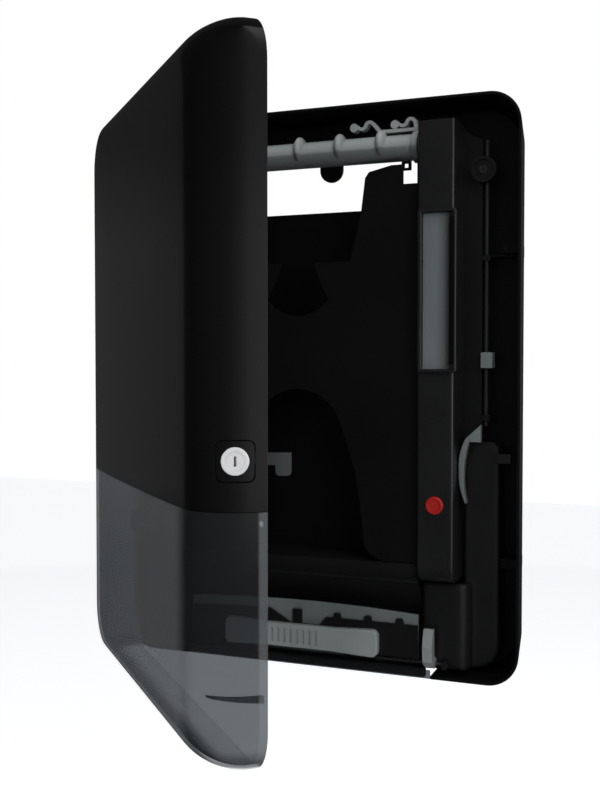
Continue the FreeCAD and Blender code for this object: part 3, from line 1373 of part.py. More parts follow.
def build():
    """Every sub-part, housing first, then the door, the lock and the moving fittings."""
    back_housing()
    left_chassis()
    right_chassis()
    column_cover()
    window_bezel()
    window_panel()
    mechanism_cover()
    retaining_plate()
    outlet_fascia()
    rear_web_guide()
    outlet_lip()
    top_guide_bar()
    hinge_bracket("hinge_bracket_upper", S.hinge_height)
    hinge_bracket("hinge_bracket_lower", -S.hinge_height)
    hinge_pins()
    lock_keeper()
    lever_pin()
    rod_retainer()
    retainer_screw()
    ledge_screws()
    button_guide()
    button_spring()
    rod_guide("rod_guide_upper", S.rod_guide_upper)
    rod_guide("rod_guide_lower", S.rod_guide_lower)
    gate_bearing("gate_bearing_left", GATE_LEFT, S.left_front)
    gate_bearing("gate_bearing_right", GATE_RIGHT, S.cover_low_front)
    outer = door_shells()
    door_hinge_arm("door_hinge_arm_upper", S.hinge_height)
    door_hinge_arm("door_hinge_arm_lower", -S.hinge_height)
    lock_escutcheon(outer)
    lock_cylinder()
    lock_cam()
    cam_screw()
    red_button()
    release_lever()
    release_rod()
    rod_tab()
    gate_guide()
    gate_plate()
    gate_handle()
    gate_shaft()
    gate_end_arm()
    gate_clip()
    shaft_clips()


def check_and_write():
    """Stop on any failed object, then write one STEP file for each sub-part."""
    doc.recompute()
    failed = [item.Name for item in doc.Objects if "Invalid" in item.State or "Error" in item.State]
    if failed:
        raise RuntimeError(f"objects failed: {failed}")
    for node, piece in SUBPARTS.items():
        shape = piece.Shape
        if shape.isNull() or not shape.isValid() or not shape.Solids:
            raise RuntimeError(f"{node} has no valid solid")
        shape.exportStep(f"parts/{node}.step")
    print("wrote", len(SUBPARTS), "sub-parts")


build()
check_and_write()
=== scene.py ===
import json
import math

import bmesh
import bpy
from mathutils import Matrix, Vector


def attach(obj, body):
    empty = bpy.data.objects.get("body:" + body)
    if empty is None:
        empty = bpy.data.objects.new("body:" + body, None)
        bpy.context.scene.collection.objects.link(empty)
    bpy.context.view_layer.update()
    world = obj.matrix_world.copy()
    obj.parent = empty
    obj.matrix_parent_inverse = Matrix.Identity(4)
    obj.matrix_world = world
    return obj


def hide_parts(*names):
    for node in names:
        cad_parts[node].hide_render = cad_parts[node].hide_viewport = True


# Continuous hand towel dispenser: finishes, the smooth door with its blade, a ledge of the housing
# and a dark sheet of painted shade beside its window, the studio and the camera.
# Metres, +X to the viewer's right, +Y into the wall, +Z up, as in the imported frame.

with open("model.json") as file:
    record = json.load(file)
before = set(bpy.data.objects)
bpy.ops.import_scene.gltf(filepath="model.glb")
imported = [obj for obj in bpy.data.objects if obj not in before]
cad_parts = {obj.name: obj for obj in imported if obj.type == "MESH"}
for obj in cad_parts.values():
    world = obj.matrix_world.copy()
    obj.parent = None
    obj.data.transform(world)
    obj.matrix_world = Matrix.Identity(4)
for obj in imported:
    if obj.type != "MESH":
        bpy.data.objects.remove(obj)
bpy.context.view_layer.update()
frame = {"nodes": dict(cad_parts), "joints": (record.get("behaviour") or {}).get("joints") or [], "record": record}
nodes = frame["nodes"]
joints = {joint["name"]: joint for joint in frame["joints"]}

MM = 0.001

# Sizes of the closed door
HALF_WIDTH = 185 * MM
HALF_HEIGHT = 245.5 * MM
DOOR_BACK = -52.4 * MM
DOOR_DEPTH = 48.6 * MM
DOOR_WALL = 2.8 * MM
DOOR_LIP = 6.3 * MM
DOOR_CROWN = 2.9 * MM
SIDE_ROUND = 32.7 * MM
END_ROUND = 27.2 * MM
DOOR_CORNER = 32.7 * MM
FRONT_CORNER = 28.4 * MM
FLAT_HALF_WIDTH = HALF_WIDTH - SIDE_ROUND
FLAT_HALF_HEIGHT = HALF_HEIGHT - END_ROUND
SIDE_CURVE = 2 / 1.76
END_CURVE = 2 / 2.156
SMOKED_LINE = -72 * MM
SEAM = 0.3 * MM

# Fineness of the door's mesh
CORNER_STEPS = 14
STRAIGHT_STEPS = 24
ROUND_LEVELS = 18
CROWN_SHARES = (0.94, 0.86, 0.76, 0.64, 0.5, 0.34, 0.16)
SHARP_EDGE = math.radians(35)

# Hole for the lock's plate, about the lock's axis
LOCK_HOLE = (25.5 * MM, 27 * MM)
LOCK_HOLE_ROUND = 4.5 * MM
LOCK_HOLE_DEPTHS = (-8 * MM, 8 * MM)
LOCK_HOLE_STEPS = 6

# Blade inside the free side: it follows the side's round for a part of its turn
BLADE_LEVEL = -192 * MM
BLADE_INSET = 2 * MM
BLADE_SINK = 0.6 * DOOR_WALL
BLADE_REACH = 6 * MM
BLADE_HALF = 2.5 * MM
BLADE_TAPER = 2.2 * MM
BLADE_TURN = math.radians(58)
BLADE_STEPS = 14

# Plastics and metals
NOISE_LOW = 0.3
NOISE_HIGH = 0.7
SLOW_SCALE = 14
LEAST_ROUGH = 0.9
MOST_ROUGH = 1.12
GRAIN_SIZE = 0.5 * MM
GRAIN_HEIGHT = 0.05 * MM
BEVEL_SAMPLES = 6
METAL_EDGE = 0.3 * MM
LINES_ACROSS = 900
LINES_ALONG = 30
STRONG_REFLECTION = 1
FAINT_REFLECTION = 0.1

# Clear plastics
WAVE_SCALE = 6
WAVE_STRENGTH = 0.02
WAVE_HEIGHT = 0.4 * MM
STRAIGHT_GLOSS = 0.037
SLANT_GLOSS = 0.963
RIM_POWER = 5
CLOUD_SHADE = 0.5
LEAST_HAZY = 0.8
MOST_HAZY = 1.2

# Smoked shell of the door, and the places on the closed door where its look changes
DOOR_SLANT_GLOSS = 0.5
DOOR_CLOUD_SHADE = 1.2
HINGE_HAZE = 0.24
EDGE_HAZE = 0.13
SLANT_POWER = 1.5
# Painted shade deepens the sheet's tint in the bottom round, and painted light clears the tint from the bottom
# wall
FOOT_PAINTED_SHADE = 0.6
FOOT_SHARE = 0.3
FADE = (FLAT_HALF_WIDTH - 20 * MM, FLAT_HALF_WIDTH + 4 * MM)
EDGE_BAND = (DOOR_BACK - 1.1 * DOOR_LIP, DOOR_BACK - 0.8 * DOOR_LIP)
FOOT_ROUND = (-HALF_HEIGHT + 20 * MM, -HALF_HEIGHT + 9 * MM)
FOOT_WALL_PAINTED_LIGHT = (-HALF_HEIGHT + 7 * MM, -HALF_HEIGHT + 3.4 * MM)


# Node materials

def new_material(name, colour, roughness):
    """A new material whose shader has one colour and one roughness."""
    material = bpy.data.materials.new(name)
    material.use_nodes = True
    shader = material.node_tree.nodes["Principled BSDF"]
    shader.inputs["Base Color"].default_value = (*colour, 1)
    shader.inputs["Roughness"].default_value = roughness
    return material


def bare_material(name):
    """A new material with nothing but its output node."""
    material = bpy.data.materials.new(name)
    material.use_nodes = True
    tree = material.node_tree
    tree.nodes.remove(tree.nodes["Principled BSDF"])
    return material


def scaled(colour, factor):
    """The colour made darker or lighter."""
    return tuple(factor * groove_shade for groove_shade in colour)


def object_noise(tree, scale, detail=3):
    """Noise in the object's own coordinates, which are metres in the part's frame."""
    place = tree.nodes.new("ShaderNodeTexCoord")
    noise = tree.nodes.new("ShaderNodeTexNoise")
    noise.inputs["Scale"].default_value = scale
    noise.inputs["Detail"].default_value = detail
    tree.links.new(place.outputs["Object"], noise.inputs["Vector"])
    return noise


def spread(tree, source, begin, end, low, high):
    """A value that runs from low to high while the source runs from begin to end."""
    step = tree.nodes.new("ShaderNodeMapRange")
    step.inputs["From Min"].default_value = begin
    step.inputs["From Max"].default_value = end
    step.inputs["To Min"].default_value = low
    step.inputs["To Max"].default_value = high
    tree.links.new(source, step.inputs["Value"])
    return step.outputs["Result"]


def ranged(tree, noise, low, high):
    """The noise spread between two limits."""
    return spread(tree, noise.outputs["Fac"], NOISE_LOW, NOISE_HIGH, low, high)


def combined(tree, operation, first, second):
    """One math node; the second value may be a number or a socket."""
    node = tree.nodes.new("ShaderNodeMath")
    node.operation = operation
    tree.links.new(first, node.inputs[0])
    if isinstance(second, (int, float)):
        node.inputs[1].default_value = second
    else:
        tree.links.new(second, node.inputs[1])
    return node.outputs["Value"]


def blended(tree, share, first, second):
    """A colour between two; the first may be a colour or a socket."""
    mix = tree.nodes.new("ShaderNodeMix")
    mix.data_type = "RGBA"
    if isinstance(first, tuple):
        mix.inputs["A"].default_value = (*first, 1)
    else:
        tree.links.new(first, mix.inputs["A"])
    mix.inputs["B"].default_value = (*second, 1)
    tree.links.new(share, mix.inputs["Factor"])
    return mix.outputs["Result"]


def mixed_shader(tree, share, first, second):
    """A shader between two."""
    mix = tree.nodes.new("ShaderNodeMixShader")
    tree.links.new(share, mix.inputs["Fac"])
    tree.links.new(first, mix.inputs[1])
    tree.links.new(second, mix.inputs[2])
    return mix.outputs["Shader"]


def softened(tree, radius):
    """The normal with its edges rounded over a radius."""
    soften = tree.nodes.new("ShaderNodeBevel")
    soften.samples = BEVEL_SAMPLES
    soften.inputs["Radius"].default_value = radius
    return soften.outputs["Normal"]


def bumped(tree, noise, strength, height):
    """A bump from a noise."""
    bump = tree.nodes.new("ShaderNodeBump")
    bump.inputs["Strength"].default_value = strength
    bump.inputs["Distance"].default_value = height
    tree.links.new(noise.outputs["Fac"], bump.inputs["Height"])
    return bump


def moulded(name, colour, roughness, grain=0.1, edge=0.6, shift=0.15):
    """Moulded plastic: fine grain in the bump, slow change in shade and gloss, softened edges.

    The edge is the radius of the softening in millimetres.
    """
    material = new_material(name, colour, roughness)
    tree = material.node_tree
    shader = tree.nodes["Principled BSDF"]
    slow = object_noise(tree, SLOW_SCALE)
    gloss = ranged(tree, slow, roughness * LEAST_ROUGH, roughness * MOST_ROUGH)
    tree.links.new(gloss, shader.inputs["Roughness"])
    dark = scaled(colour, 1 - shift)
    light = scaled(colour, 1 + shift)
    shade = blended(tree, ranged(tree, slow, 0, 1), dark, light)
    tree.links.new(shade, shader.inputs["Base Color"])
    fine = object_noise(tree, 1 / GRAIN_SIZE, 2)
    bump = bumped(tree, fine, grain, GRAIN_HEIGHT)
    tree.links.new(softened(tree, edge * MM), bump.inputs["Normal"])
    tree.links.new(bump.outputs["Normal"], shader.inputs["Normal"])
    return material


def metal(name, colour, roughness, along, brushed=0.1):
    """Metal with drawn lines along one axis."""
    material = new_material(name, colour, roughness)
    tree = material.node_tree
    shader = tree.nodes["Principled BSDF"]
    shader.inputs["Metallic"].default_value = 1
    place = tree.nodes.new("ShaderNodeTexCoord")
    stretch = tree.nodes.new("ShaderNodeMapping")
    scale = [LINES_ACROSS] * 3
    scale["XYZ".index(along)] = LINES_ALONG
    stretch.inputs["Scale"].default_value = scale
    lines = tree.nodes.new("ShaderNodeTexNoise")
    lines.inputs["Scale"].default_value = 1
    tree.links.new(place.outputs["Object"], stretch.inputs["Vector"])
    tree.links.new(stretch.outputs["Vector"], lines.inputs["Vector"])
    gloss = ranged(tree, lines, roughness * (1 - brushed), roughness * (1 + brushed))
    tree.links.new(gloss, shader.inputs["Roughness"])
    tree.links.new(softened(tree, METAL_EDGE), shader.inputs["Normal"])
    return material


def reflecting(material, level):
    """The same finish with another amount of reflection, where a half is the usual amount."""
    material.node_tree.nodes["Principled BSDF"].inputs["Specular IOR Level"].default_value = level
    return material


def bright_chrome():
    """Satin chrome: half a pale coat that takes the lamps' light, half a mirror."""
    material = metal("lock_chrome", (0.9, 0.9, 0.9), 0.2, "Y", 0.2)
    material.node_tree.nodes["Principled BSDF"].inputs["Metallic"].default_value = 0.5
    return material


def closed_place(tree):
    """Coordinates of a door point on the closed door, in metres."""
    joint = joints["door_hinge"]
    pivot = Vector(joint["pos_m"])
    angle = -math.radians(joint["range_deg"][0])
    back = Matrix.Rotation(angle, 4, "Z")
    place = tree.nodes.new("ShaderNodeTexCoord")
    turn = tree.nodes.new("ShaderNodeMapping")
    turn.inputs["Location"].default_value = pivot - back @ pivot
    turn.inputs["Rotation"].default_value = (0, 0, angle)
    parts = tree.nodes.new("ShaderNodeSeparateXYZ")
    tree.links.new(place.outputs["Object"], turn.inputs["Vector"])
    tree.links.new(turn.outputs["Vector"], parts.inputs["Vector"])
    return parts.outputs


def door_haze(tree, place, slant, least):
    """Scatter of the door's sheet, before the share that its foot keeps.

    The longer way through the sheet at a slant scatters more. The scatter fades toward the
    free side and rises again in the band beside the back edge.
    """
    along = spread(tree, place["X"], *FADE, HINGE_HAZE, 0)
    sloped = combined(tree, "MULTIPLY", along, combined(tree, "POWER", slant, SLANT_POWER))
    edge = spread(tree, place["Y"], *EDGE_BAND, 0, EDGE_HAZE)
    return combined(tree, "MAXIMUM", combined(tree, "MAXIMUM", sloped, edge), least)


def door_tint_and_painted_light(tree, place, tint):
    """Tint of the door's sheet, with painted shade that deepens it in its bottom round and painted light that
    takes it out of its bottom wall.
    """
    painted_shade = blended(tree, spread(tree, place["Z"], *FOOT_ROUND, 0, 1), tint, scaled(tint, FOOT_PAINTED_SHADE))
    return blended(tree, spread(tree, place["Z"], *FOOT_WALL_PAINTED_LIGHT, 0, 1), painted_shade, (1, 1, 1))


def see_through(name, tint, roughness, haze, on_door=False):
    """Clear tinted plastic: each face tints and scatters a little, and keeps its polish.

    The door's sheet has its own haze and tint, with painted shade in its bottom round and painted light in its
    bottom wall, and its foot scatters and reflects less.
    """
    material = bare_material(name)
    tree = material.node_tree
    wave = object_noise(tree, WAVE_SCALE)
    facing = tree.nodes.new("ShaderNodeLayerWeight")
    facing.inputs["Blend"].default_value = 0.5
    slant = facing.outputs["Facing"]
    rim = combined(tree, "POWER", slant, RIM_POWER)

    clear = tree.nodes.new("ShaderNodeBsdfTransparent")
    clear.inputs["Color"].default_value = (*tint, 1)
    cloud = tree.nodes.new("ShaderNodeBsdfDiffuse")
    if on_door:
        place = closed_place(tree)
        kept = spread(tree, place["Z"], *FOOT_ROUND, 1, FOOT_SHARE)
        scatter = combined(tree, "MULTIPLY", door_haze(tree, place, slant, haze), kept)
        # Painted shade and painted light in the sheet's foot, carried by its tint
        tree.links.new(door_tint_and_painted_light(tree, place, tint), clear.inputs["Color"])
        cloud.inputs["Color"].default_value = (*scaled(tint, DOOR_CLOUD_SHADE), 1)
        bright = combined(tree, "MULTIPLY", combined(tree, "MULTIPLY", rim, DOOR_SLANT_GLOSS), kept)
    else:
        scatter = ranged(tree, wave, haze * LEAST_HAZY, haze * MOST_HAZY)
        cloud.inputs["Color"].default_value = (*scaled(tint, CLOUD_SHADE), 1)
        bright = combined(tree, "MULTIPLY", rim, SLANT_GLOSS)
    body = mixed_shader(tree, scatter, clear.outputs["BSDF"], cloud.outputs["BSDF"])

    polish = tree.nodes.new("ShaderNodeBsdfAnisotropic")
    polish.inputs["Roughness"].default_value = roughness
    bump = bumped(tree, wave, WAVE_STRENGTH, WAVE_HEIGHT)
    tree.links.new(bump.outputs["Normal"], polish.inputs["Normal"])
    gloss = combined(tree, "ADD", bright, STRAIGHT_GLOSS)
    skin = mixed_shader(tree, gloss, body, polish.outputs["BSDF"])
    tree.links.new(skin, tree.nodes["Material Output"].inputs["Surface"])
    return material


def shaded(material, axis, begin, end, colour):
    """Turn a moulded finish into another colour between two places along one axis of the object."""
    tree = material.node_tree
    shader = tree.nodes["Principled BSDF"]
    own = shader.inputs["Base Color"].links[0].from_socket
    place = tree.nodes.new("ShaderNodeTexCoord")
    parts = tree.nodes.new("ShaderNodeSeparateXYZ")
    tree.links.new(place.outputs["Object"], parts.inputs["Vector"])
    share = spread(tree, parts.outputs[axis], begin, end, 0, 1)
    tree.links.new(blended(tree, share, own, colour), shader.inputs["Base Color"])
    return material


def finishes():
    """One node material for each material slot of the record."""
    return {
        "tray_plastic": moulded("tray_plastic", (0.002, 0.002, 0.0022), 0.42, 0.15),
        "chassis_plastic": moulded("chassis_plastic", (0.004, 0.0042, 0.0044), 0.4, 0.15),
        "plate_plastic": moulded("plate_plastic", (0.003, 0.003, 0.0033), 0.35, 0.08),
        "column_plastic": reflecting(
            moulded("column_plastic", (0.0075, 0.0078, 0.008), 0.28, 0.12, edge=1.4), STRONG_REFLECTION,
        ),
        "dark_plastic": moulded("dark_plastic", (0.005, 0.005, 0.0054), 0.42, 0.15),
        "grey_plastic": moulded("grey_plastic", (0.17, 0.185, 0.182), 0.38, 0.1, edge=0.8),
        "light_grey_plastic": moulded("light_grey_plastic", (0.1, 0.112, 0.112), 0.36, 0.1),
        # The window panel's colour darkens toward its right edge: painted shade
        "panel_grey": shaded(
            moulded("panel_grey", (0.09, 0.102, 0.106), 0.3, 0.06),
            "X", 116.5 * MM, 128.5 * MM, (0.02, 0.022, 0.023),
        ),
        "gloss_black": moulded("gloss_black", (0.002, 0.002, 0.0022), 0.1, 0.0, shift=0.05, edge=0.3),
        "button_red": reflecting(
            moulded("button_red", (0.3, 0.01, 0.008), 0.18, 0.03, edge=2.5), STRONG_REFLECTION,
        ),
        "smoked_plastic": see_through(
            "smoked_plastic", (0.377, 0.394, 0.404), 0.06, 0.017, on_door=True,
        ),
        "clear_smoke": see_through("clear_smoke", (0.32, 0.34, 0.35), 0.12, 0.04),
        "steel": metal("steel", (0.3, 0.3, 0.3), 0.3, "X"),
        "dark_steel": metal("dark_steel", (0.08, 0.08, 0.08), 0.25, "Y"),
        "black_rod": moulded("black_rod", (0.012, 0.012, 0.013), 0.2, 0.02, edge=0.2),
        "lock_chrome": bright_chrome(),
    }


def own_shades():
    """Shades of the slot's finish for single nodes."""
    return {
        "lock_cam": moulded("cam_grey", (0.03, 0.033, 0.033), 0.45, 0.1),
        "rod_tab": moulded("tab_grey", (0.1, 0.11, 0.11), 0.38, 0.1),
        "mechanism_cover": reflecting(
            moulded("cover_black", (0.005, 0.0052, 0.0054), 0.34, 0.12, edge=7), STRONG_REFLECTION,
        ),
        "top_guide_bar": shaded(
            moulded("bar_grey", (0.19, 0.205, 0.202), 0.34, 0.1, edge=0.8),
            "Z", 207.5 * MM, 205.5 * MM, (0.1, 0.108, 0.107),
        ),
    }


def dress_nodes(finish):
    """Give every node of the frame the material of its slot, or its own shade of it."""
    shades = own_shades()
    for part in frame["record"]["subparts"]:
        mesh = nodes[part["node"]].data
        mesh.materials.clear()
        mesh.materials.append(shades.get(part["node"], finish[part["material_slot"]]))


# Meshes and objects

def round_corners(flat_x, flat_y):
    """Centres of a rectangle's four round corners, and the turn at which each arc starts."""
    return (flat_x, flat_y, 0), (-flat_x, flat_y, 90), (-flat_x, -flat_y, 180), (flat_x, -flat_y, 270)


def band(build, near_row, far_row):
    """Faces between two closed rows of as many points."""
    count = len(near_row)
    for k in range(count):
        after = (k + 1) % count
        build.faces.new((near_row[k], near_row[after], far_row[after], far_row[k]))


def new_mesh(build, name):
    """The build as a new mesh."""
    mesh = bpy.data.meshes.new(name)
    build.to_mesh(mesh)
    build.free()
    return mesh


def outward_mesh(build, name):
    """The build as a new mesh whose faces all look outward."""
    bmesh.ops.recalc_face_normals(build, faces=build.faces)
    return new_mesh(build, name)


def new_object(name, data):
    """A new object in the scene."""
    made = bpy.data.objects.new(name, data)
    bpy.context.scene.collection.objects.link(made)
    return made


# Door

def ring(half_x, half_z, corner, depth):
    """Points of a rounded rectangle at one depth of the closed door, once around."""
    corners = round_corners(half_x - corner, half_z - corner)

    def corner_point(k, step):
        x, z, start = corners[k]
        turn = math.radians(start + 90 * step / CORNER_STEPS)
        return Vector((x + corner * math.cos(turn), depth, z + corner * math.sin(turn)))

    points = []
    for k in range(len(corners)):
        points.extend(corner_point(k, step) for step in range(CORNER_STEPS + 1))
        last = points[-1]
        target = corner_point((k + 1) % len(corners), 0)
        points.extend(last.lerp(target, step / STRAIGHT_STEPS) for step in range(1, STRAIGHT_STEPS))
    return points


def door_rings(wall):
    """Rings from the door's back edge to the middle of its crowned front."""
    width = HALF_WIDTH - wall
    height = HALF_HEIGHT - wall
    depth = DOOR_DEPTH - DOOR_CROWN - DOOR_LIP - wall
    rings = [ring(width, height, DOOR_CORNER - wall, DOOR_BACK)]
    for level in range(ROUND_LEVELS + 1):
        turn = math.pi / 2 * level / ROUND_LEVELS
        cut_x = (SIDE_ROUND - wall) * (1 - math.cos(turn) ** SIDE_CURVE)
        cut_z = (END_ROUND - wall) * (1 - math.cos(turn) ** END_CURVE)
        corner = DOOR_CORNER - (DOOR_CORNER - FRONT_CORNER) * level / ROUND_LEVELS - wall
        place = DOOR_BACK - DOOR_LIP - depth * math.sin(turn) ** SIDE_CURVE
        rings.append(ring(width - cut_x, height - cut_z, corner, place))
    front = DOOR_BACK - DOOR_LIP - depth
    for share in CROWN_SHARES:
        rings.append(ring(
            FLAT_HALF_WIDTH * share, FLAT_HALF_HEIGHT * share,
            (FRONT_CORNER - wall) * share, front - DOOR_CROWN * (1 - share * share),
        ))
    return rings


def door_swing():
    """The door's turn from closed to its rest position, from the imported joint."""
    joint = joints["door_hinge"]
    pivot = Matrix.Translation(Vector(joint["pos_m"]))
    turn = Matrix.Rotation(math.radians(joint["range_deg"][0]), 4, "Z")
    return pivot @ turn @ pivot.inverted()


def door_mesh(name):
    """The whole closed door skin: outer rings, inner rings and the back edge between them."""
    build = bmesh.new()
    back_rows = []
    for wall in (0, DOOR_WALL):
        rows = [[build.verts.new(point) for point in row] for row in door_rings(wall)]
        for near_row, far_row in zip(rows, rows[1:]):
            band(build, near_row, far_row)
        build.faces.new(rows[-1])
        back_rows.append(rows[0])
    band(build, *back_rows)
    return outward_mesh(build, name)


def cut_at(mesh, level, keep_above):
    """Keep one side of a level plane and close the cut."""
    build = bmesh.new()
    build.from_mesh(mesh)
    geometry = build.verts[:] + build.edges[:] + build.faces[:]
    result = bmesh.ops.bisect_plane(
        build, geom=geometry, plane_co=(0, 0, level), plane_no=(0, 0, 1),
        clear_outer=not keep_above, clear_inner=keep_above,
    )
    edges = [item for item in result["geom_cut"] if isinstance(item, bmesh.types.BMEdge)]
    bmesh.ops.edgenet_fill(build, edges=edges)
    build.to_mesh(mesh)
    build.free()


def smooth(mesh):
    """Smooth shading that keeps the sharp edges."""
    build = bmesh.new()
    build.from_mesh(mesh)
    for face in build.faces:
        face.smooth = True
    for edge in build.edges:
        if len(edge.link_faces) == 2:
            edge.smooth = edge.calc_face_angle() < SHARP_EDGE
    build.to_mesh(mesh)
    build.free()


def lock_frame():
    """Place of the lock on the open door: X across the door, Y up and Z out along the lock's axis."""
    joint = joints["lock_turn"]
    out = Vector(joint["axis"])
    return Matrix.Translation(Vector(joint["pos_m"])) @ Matrix((
        (-out.y, 0, out.x, 0), (out.x, 0, out.y, 0), (0, 1, 0, 0), (0, 0, 0, 1),
    ))


def door_shell(node, slot, finish, above):
    """A polished shell in place of the node's faceted one."""
    mesh = door_mesh(f"polished_{node}")
    gap = SEAM / 2 if above else -SEAM / 2
    cut_at(mesh, SMOKED_LINE + gap, above)
    mesh.transform(door_swing())
    mesh.materials.append(finish[slot])
    return new_object(f"polished_{node}", mesh)


def lock_hole():
    """A block with four round corners, as large as the lock's hole."""
    build = bmesh.new()
    points = []
    flat_x, flat_y = (side / 2 - LOCK_HOLE_ROUND for side in LOCK_HOLE)
    for x, y, start in round_corners(flat_x, flat_y):
        for step in range(LOCK_HOLE_STEPS + 1):
            turn = math.radians(start + 90 * step / LOCK_HOLE_STEPS)
            points.append((x + LOCK_HOLE_ROUND * math.cos(turn), y + LOCK_HOLE_ROUND * math.sin(turn)))
    rows = [[build.verts.new((x, y, level)) for x, y in points] for level in LOCK_HOLE_DEPTHS]
    band(build, *rows)
    for row in rows:
        build.faces.new(row)
    return outward_mesh(build, "lock_hole")


def subtract(piece, tool_mesh):
    """Cut the tool's shape out of the piece, and remove the tool."""
    tool = new_object("tool", tool_mesh)
    change = piece.modifiers.new("cut", "BOOLEAN")
    change.object = tool
    change.operation = "DIFFERENCE"
    change.solver = "EXACT"
    bpy.context.view_layer.update()
    graph = bpy.context.evaluated_depsgraph_get()
    settled = bpy.data.meshes.new_from_object(piece.evaluated_get(graph))
    piece.modifiers.clear()
    piece.data = settled
    bpy.data.objects.remove(tool)


def door(finish):
    """Both shells of the door, the upper one with the lock's hole."""
    upper = door_shell("door_upper_shell", "gloss_black", finish, True)
    hole = lock_hole()
    hole.transform(lock_frame())
    subtract(upper, hole)
    lower = door_shell("door_lower_shell", "smoked_plastic", finish, False)
    for shell, node, slot in (
        (upper, "door_upper_shell", "gloss_black"), (lower, "door_lower_shell", "smoked_plastic"),
    ):
        smooth(shell.data)
        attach(shell, "door")
        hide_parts(node)


def side_blade(finish):
    """Smoked blade across the inside of the door's free side, thickest at the back edge."""
    build = bmesh.new()
    depth = DOOR_DEPTH - DOOR_CROWN - DOOR_LIP
    rows = []
    for step in range(BLADE_STEPS + 1):
        turn = BLADE_TURN * step / BLADE_STEPS
        outer = HALF_WIDTH - BLADE_SINK - SIDE_ROUND * (1 - math.cos(turn) ** SIDE_CURVE)
        inner = outer - BLADE_REACH
        y = DOOR_BACK - BLADE_INSET - depth * math.sin(turn) ** SIDE_CURVE
        half = BLADE_HALF - BLADE_TAPER * step / BLADE_STEPS
        rows.append([
            build.verts.new((x, y, BLADE_LEVEL + rise))
            for x, rise in ((outer, half), (inner, half / 2), (inner, -half / 2), (outer, -half))
        ])
    for near_row, far_row in zip(rows, rows[1:]):
        band(build, near_row, far_row)
    build.faces.new(rows[0])
    build.faces.new(rows[-1])
    mesh = outward_mesh(build, "side_blade")
    mesh.transform(door_swing())
    mesh.materials.append(finish["smoked_plastic"])
    blade = new_object("side_blade", mesh)
    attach(blade, "door")


# Outlet and window

def housing_bar(name, low, high, material):
    """A straight bar of the housing between two corners, which are in millimetres."""
    build = bmesh.new()
    bmesh.ops.create_cube(build, size=1)
    for corner in build.verts:
        shares = [place + 0.5 for place in corner.co]
        corner.co = Vector(a + (b - a) * share for a, b, share in zip(low, high, shares)) * MM
    mesh = new_mesh(build, name)
    mesh.materials.append(material)
    bar = new_object(name, mesh)
    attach(bar, "housing")


def housing_bars(finish):
    """Ledge behind the outlet lip, which closes the gap below the gate, and a dark sheet of painted shade by the
    window.
    """
    housing_bar(
        "outlet_sill", (-118, -50.35, -244.95), (103.9, -43.05, -237.2),
        finish["dark_plastic"],
    )
    # A thin dark sheet just in front of the column beside the window, with little reflection: painted shade of a
    # groove
    groove_shade = reflecting(moulded("painted_groove_shade", (0.002, 0.002, 0.002), 0.7, 0), FAINT_REFLECTION)
    housing_bar(
        "window_groove_painted_shade", (128.7, -66.1, 22), (132.8, -65.8, 143), groove_shade,
    )


# Studio

FLOOR_GLOW = 0.6
FLOOR_LEVEL = -0.85
FLOOR_SIZE = 12
SKY_COLOUR = (0.9, 0.93, 1)
SKY_LIGHT = 0.35


def background_ray(tree):
    """One for a ray that shows the background: from the camera, through glass or off gloss."""
    path = tree.nodes.new("ShaderNodeLightPath")
    seen = combined(tree, "MAXIMUM", path.outputs["Is Camera Ray"], path.outputs["Is Transmission Ray"])
    return combined(tree, "MAXIMUM", seen, path.outputs["Is Glossy Ray"])


def background(tree, colour, strength):
    """Light of one colour from the world."""
    light = tree.nodes.new("ShaderNodeBackground")
    light.inputs["Color"].default_value = (*colour, 1)
    light.inputs["Strength"].default_value = strength
    return light.outputs["Background"]


def studio_world():
    """White behind the object, and a soft pale light on it."""
    world = bpy.data.worlds.new("studio_world")
    bpy.context.scene.world = world
    world.use_nodes = True
    tree = world.node_tree
    tree.nodes.clear()
    output = tree.nodes.new("ShaderNodeOutputWorld")
    white = background(tree, (1, 1, 1), 1)
    soft = background(tree, SKY_COLOUR, SKY_LIGHT)
    tree.links.new(mixed_shader(tree, background_ray(tree), soft, white), output.inputs["Surface"])


def studio_floor():
    """Pale floor that keeps the object's shadow."""
    paint = new_material("floor_paint", (0.9, 0.9, 0.9), 0.9)
    tree = paint.node_tree
    glow = tree.nodes.new("ShaderNodeEmission")
    share = combined(tree, "MULTIPLY", background_ray(tree), FLOOR_GLOW)
    tree.links.new(share, glow.inputs["Strength"])
    both = tree.nodes.new("ShaderNodeAddShader")
    tree.links.new(tree.nodes["Principled BSDF"].outputs["BSDF"], both.inputs[0])
    tree.links.new(glow.outputs["Emission"], both.inputs[1])
    tree.links.new(both.outputs["Shader"], tree.nodes["Material Output"].inputs["Surface"])
    mesh = bpy.data.meshes.new("studio_floor")
    half = FLOOR_SIZE / 2
    corners = [(-half, -half, 0), (half, -half, 0), (half, half, 0), (-half, half, 0)]
    mesh.from_pydata(corners, [], [(0, 1, 2, 3)])
    mesh.materials.append(paint)
    card = new_object("studio_floor", mesh)
    card.location = (0, 0, FLOOR_LEVEL)


# Place round the tent, as a share of a turn, and the brightness there
TENT_STOPS = (
    (0, 0.022), (0.083, 0.016), (0.167, 0.036), (0.242, 0.064), (0.272, 0.096), (0.317, 0.19),
    (0.361, 0.34), (0.417, 0.4), (0.458, 0.96), (0.5, 0.96), (0.625, 0.72), (0.655, 0.05),
    (0.875, 0.04), (0.933, 0.052), (0.958, 0.024),
)
TENT_RADIUS = 4
TENT_FOOT = -0.84
TENT_CROWN = (0.14 * TENT_RADIUS, 0.25 * TENT_RADIUS)
TENT_CROWN_LIGHT = (1.25, 0.7)
TENT_FOOT_LIGHT = (0.12, 1)


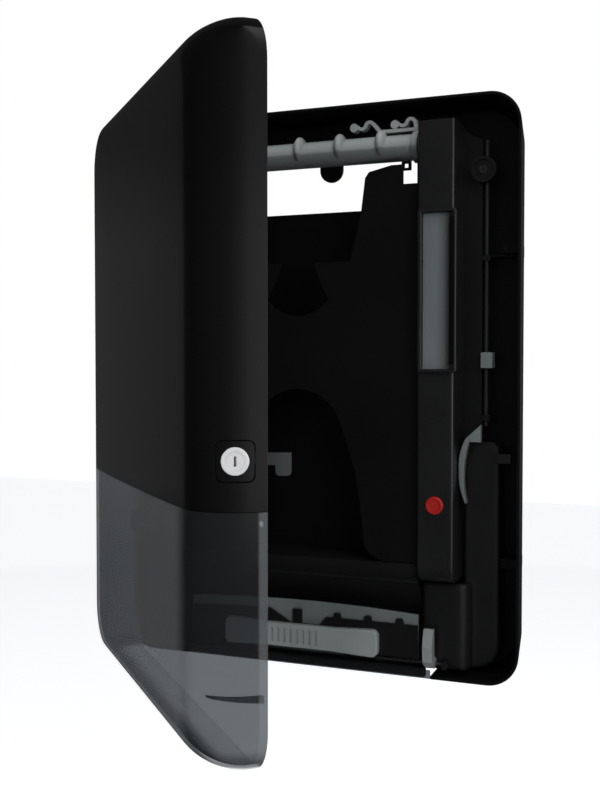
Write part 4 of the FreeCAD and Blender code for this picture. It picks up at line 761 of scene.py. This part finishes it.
def tent_cloth():
    """Glow that changes around the tent and up its wall."""
    cloth = bare_material("tent_cloth")
    tree = cloth.node_tree
    place = tree.nodes.new("ShaderNodeTexCoord")
    around = tree.nodes.new("ShaderNodeTexGradient")
    around.gradient_type = "RADIAL"
    ramp = tree.nodes.new("ShaderNodeValToRGB")
    stops = ramp.color_ramp.elements
    while len(stops) < len(TENT_STOPS):
        stops.new(0.5)
    for stop, (at, level) in zip(stops, TENT_STOPS):
        stop.position = at
        stop.color = (level, level, level, 1)
    parts = tree.nodes.new("ShaderNodeSeparateXYZ")
    tree.links.new(place.outputs["Object"], parts.inputs["Vector"])
    crown = spread(tree, parts.outputs["Z"], *TENT_CROWN, *TENT_CROWN_LIGHT)
    foot = spread(tree, parts.outputs["Z"], TENT_FOOT, TENT_FOOT * 0.6, *TENT_FOOT_LIGHT)
    glow = tree.nodes.new("ShaderNodeEmission")
    tree.links.new(place.outputs["Object"], around.inputs["Vector"])
    tree.links.new(around.outputs["Fac"], ramp.inputs["Fac"])
    tree.links.new(ramp.outputs["Color"], glow.inputs["Color"])
    tree.links.new(combined(tree, "MULTIPLY", crown, foot), glow.inputs["Strength"])
    tree.links.new(glow.outputs["Emission"], tree.nodes["Material Output"].inputs["Surface"])
    return cloth


def tent():
    """Soft surround that only reflections see: dim at the left and behind, brighter at the right."""
    build = bmesh.new()
    bmesh.ops.create_uvsphere(build, u_segments=48, v_segments=24, radius=TENT_RADIUS)
    for corner in build.verts:
        corner.co.z = max(corner.co.z, TENT_FOOT)
    mesh = new_mesh(build, "studio_tent")
    mesh.materials.append(tent_cloth())
    shell = new_object("studio_tent", mesh)
    shell.visible_camera = False
    shell.visible_diffuse = False
    shell.visible_transmission = False
    shell.visible_shadow = False


def lamp(name, place, size, power):
    """A rectangular lamp that looks at the object and shows in no reflection."""
    light = bpy.data.lights.new(name, "AREA")
    light.shape = "RECTANGLE"
    light.size, light.size_y = size
    light.energy = power
    holder = new_object(name, light)
    holder.visible_glossy = False
    holder.location = place
    holder.rotation_euler = (-Vector(place)).to_track_quat("-Z", "Y").to_euler()


def lamps():
    """Three soft lamps: at the right of the camera, above the object and in front of it."""
    lamp("lamp_key", (1.3, -1.5, 0.9), (0.9, 1.2), 26)
    lamp("lamp_top", (0.1, -0.5, 1.6), (1.4, 0.8), 16)
    lamp("lamp_fill", (-0.4, -2.2, 0.1), (1.2, 1.0), 10)


# Camera: its place, its turns in radians down and to the left, and its lens in millimetres

VIEW_PLACE = (356.559 * MM, -939.257 * MM, 20.466 * MM)
VIEW_DOWN = 0.0313343
VIEW_LEFT = 0.3912499
VIEW_LENS = 48.85


def camera():
    """The photograph's view: a nearly level camera at the right, a little above the middle."""
    lens = bpy.data.cameras.new("view")
    lens.sensor_width = 36
    lens.lens = VIEW_LENS
    lens.clip_end = 30
    viewer = new_object("view", lens)
    viewer.location = VIEW_PLACE
    viewer.rotation_euler = (math.pi / 2 - VIEW_DOWN, 0, VIEW_LEFT)
    bpy.context.scene.camera = viewer


slot_finishes = finishes()
dress_nodes(slot_finishes)
door(slot_finishes)
side_blade(slot_finishes)
housing_bars(slot_finishes)
studio_world()
studio_floor()
tent()
lamps()
camera()
bpy.context.scene.view_settings.view_transform = "Standard"
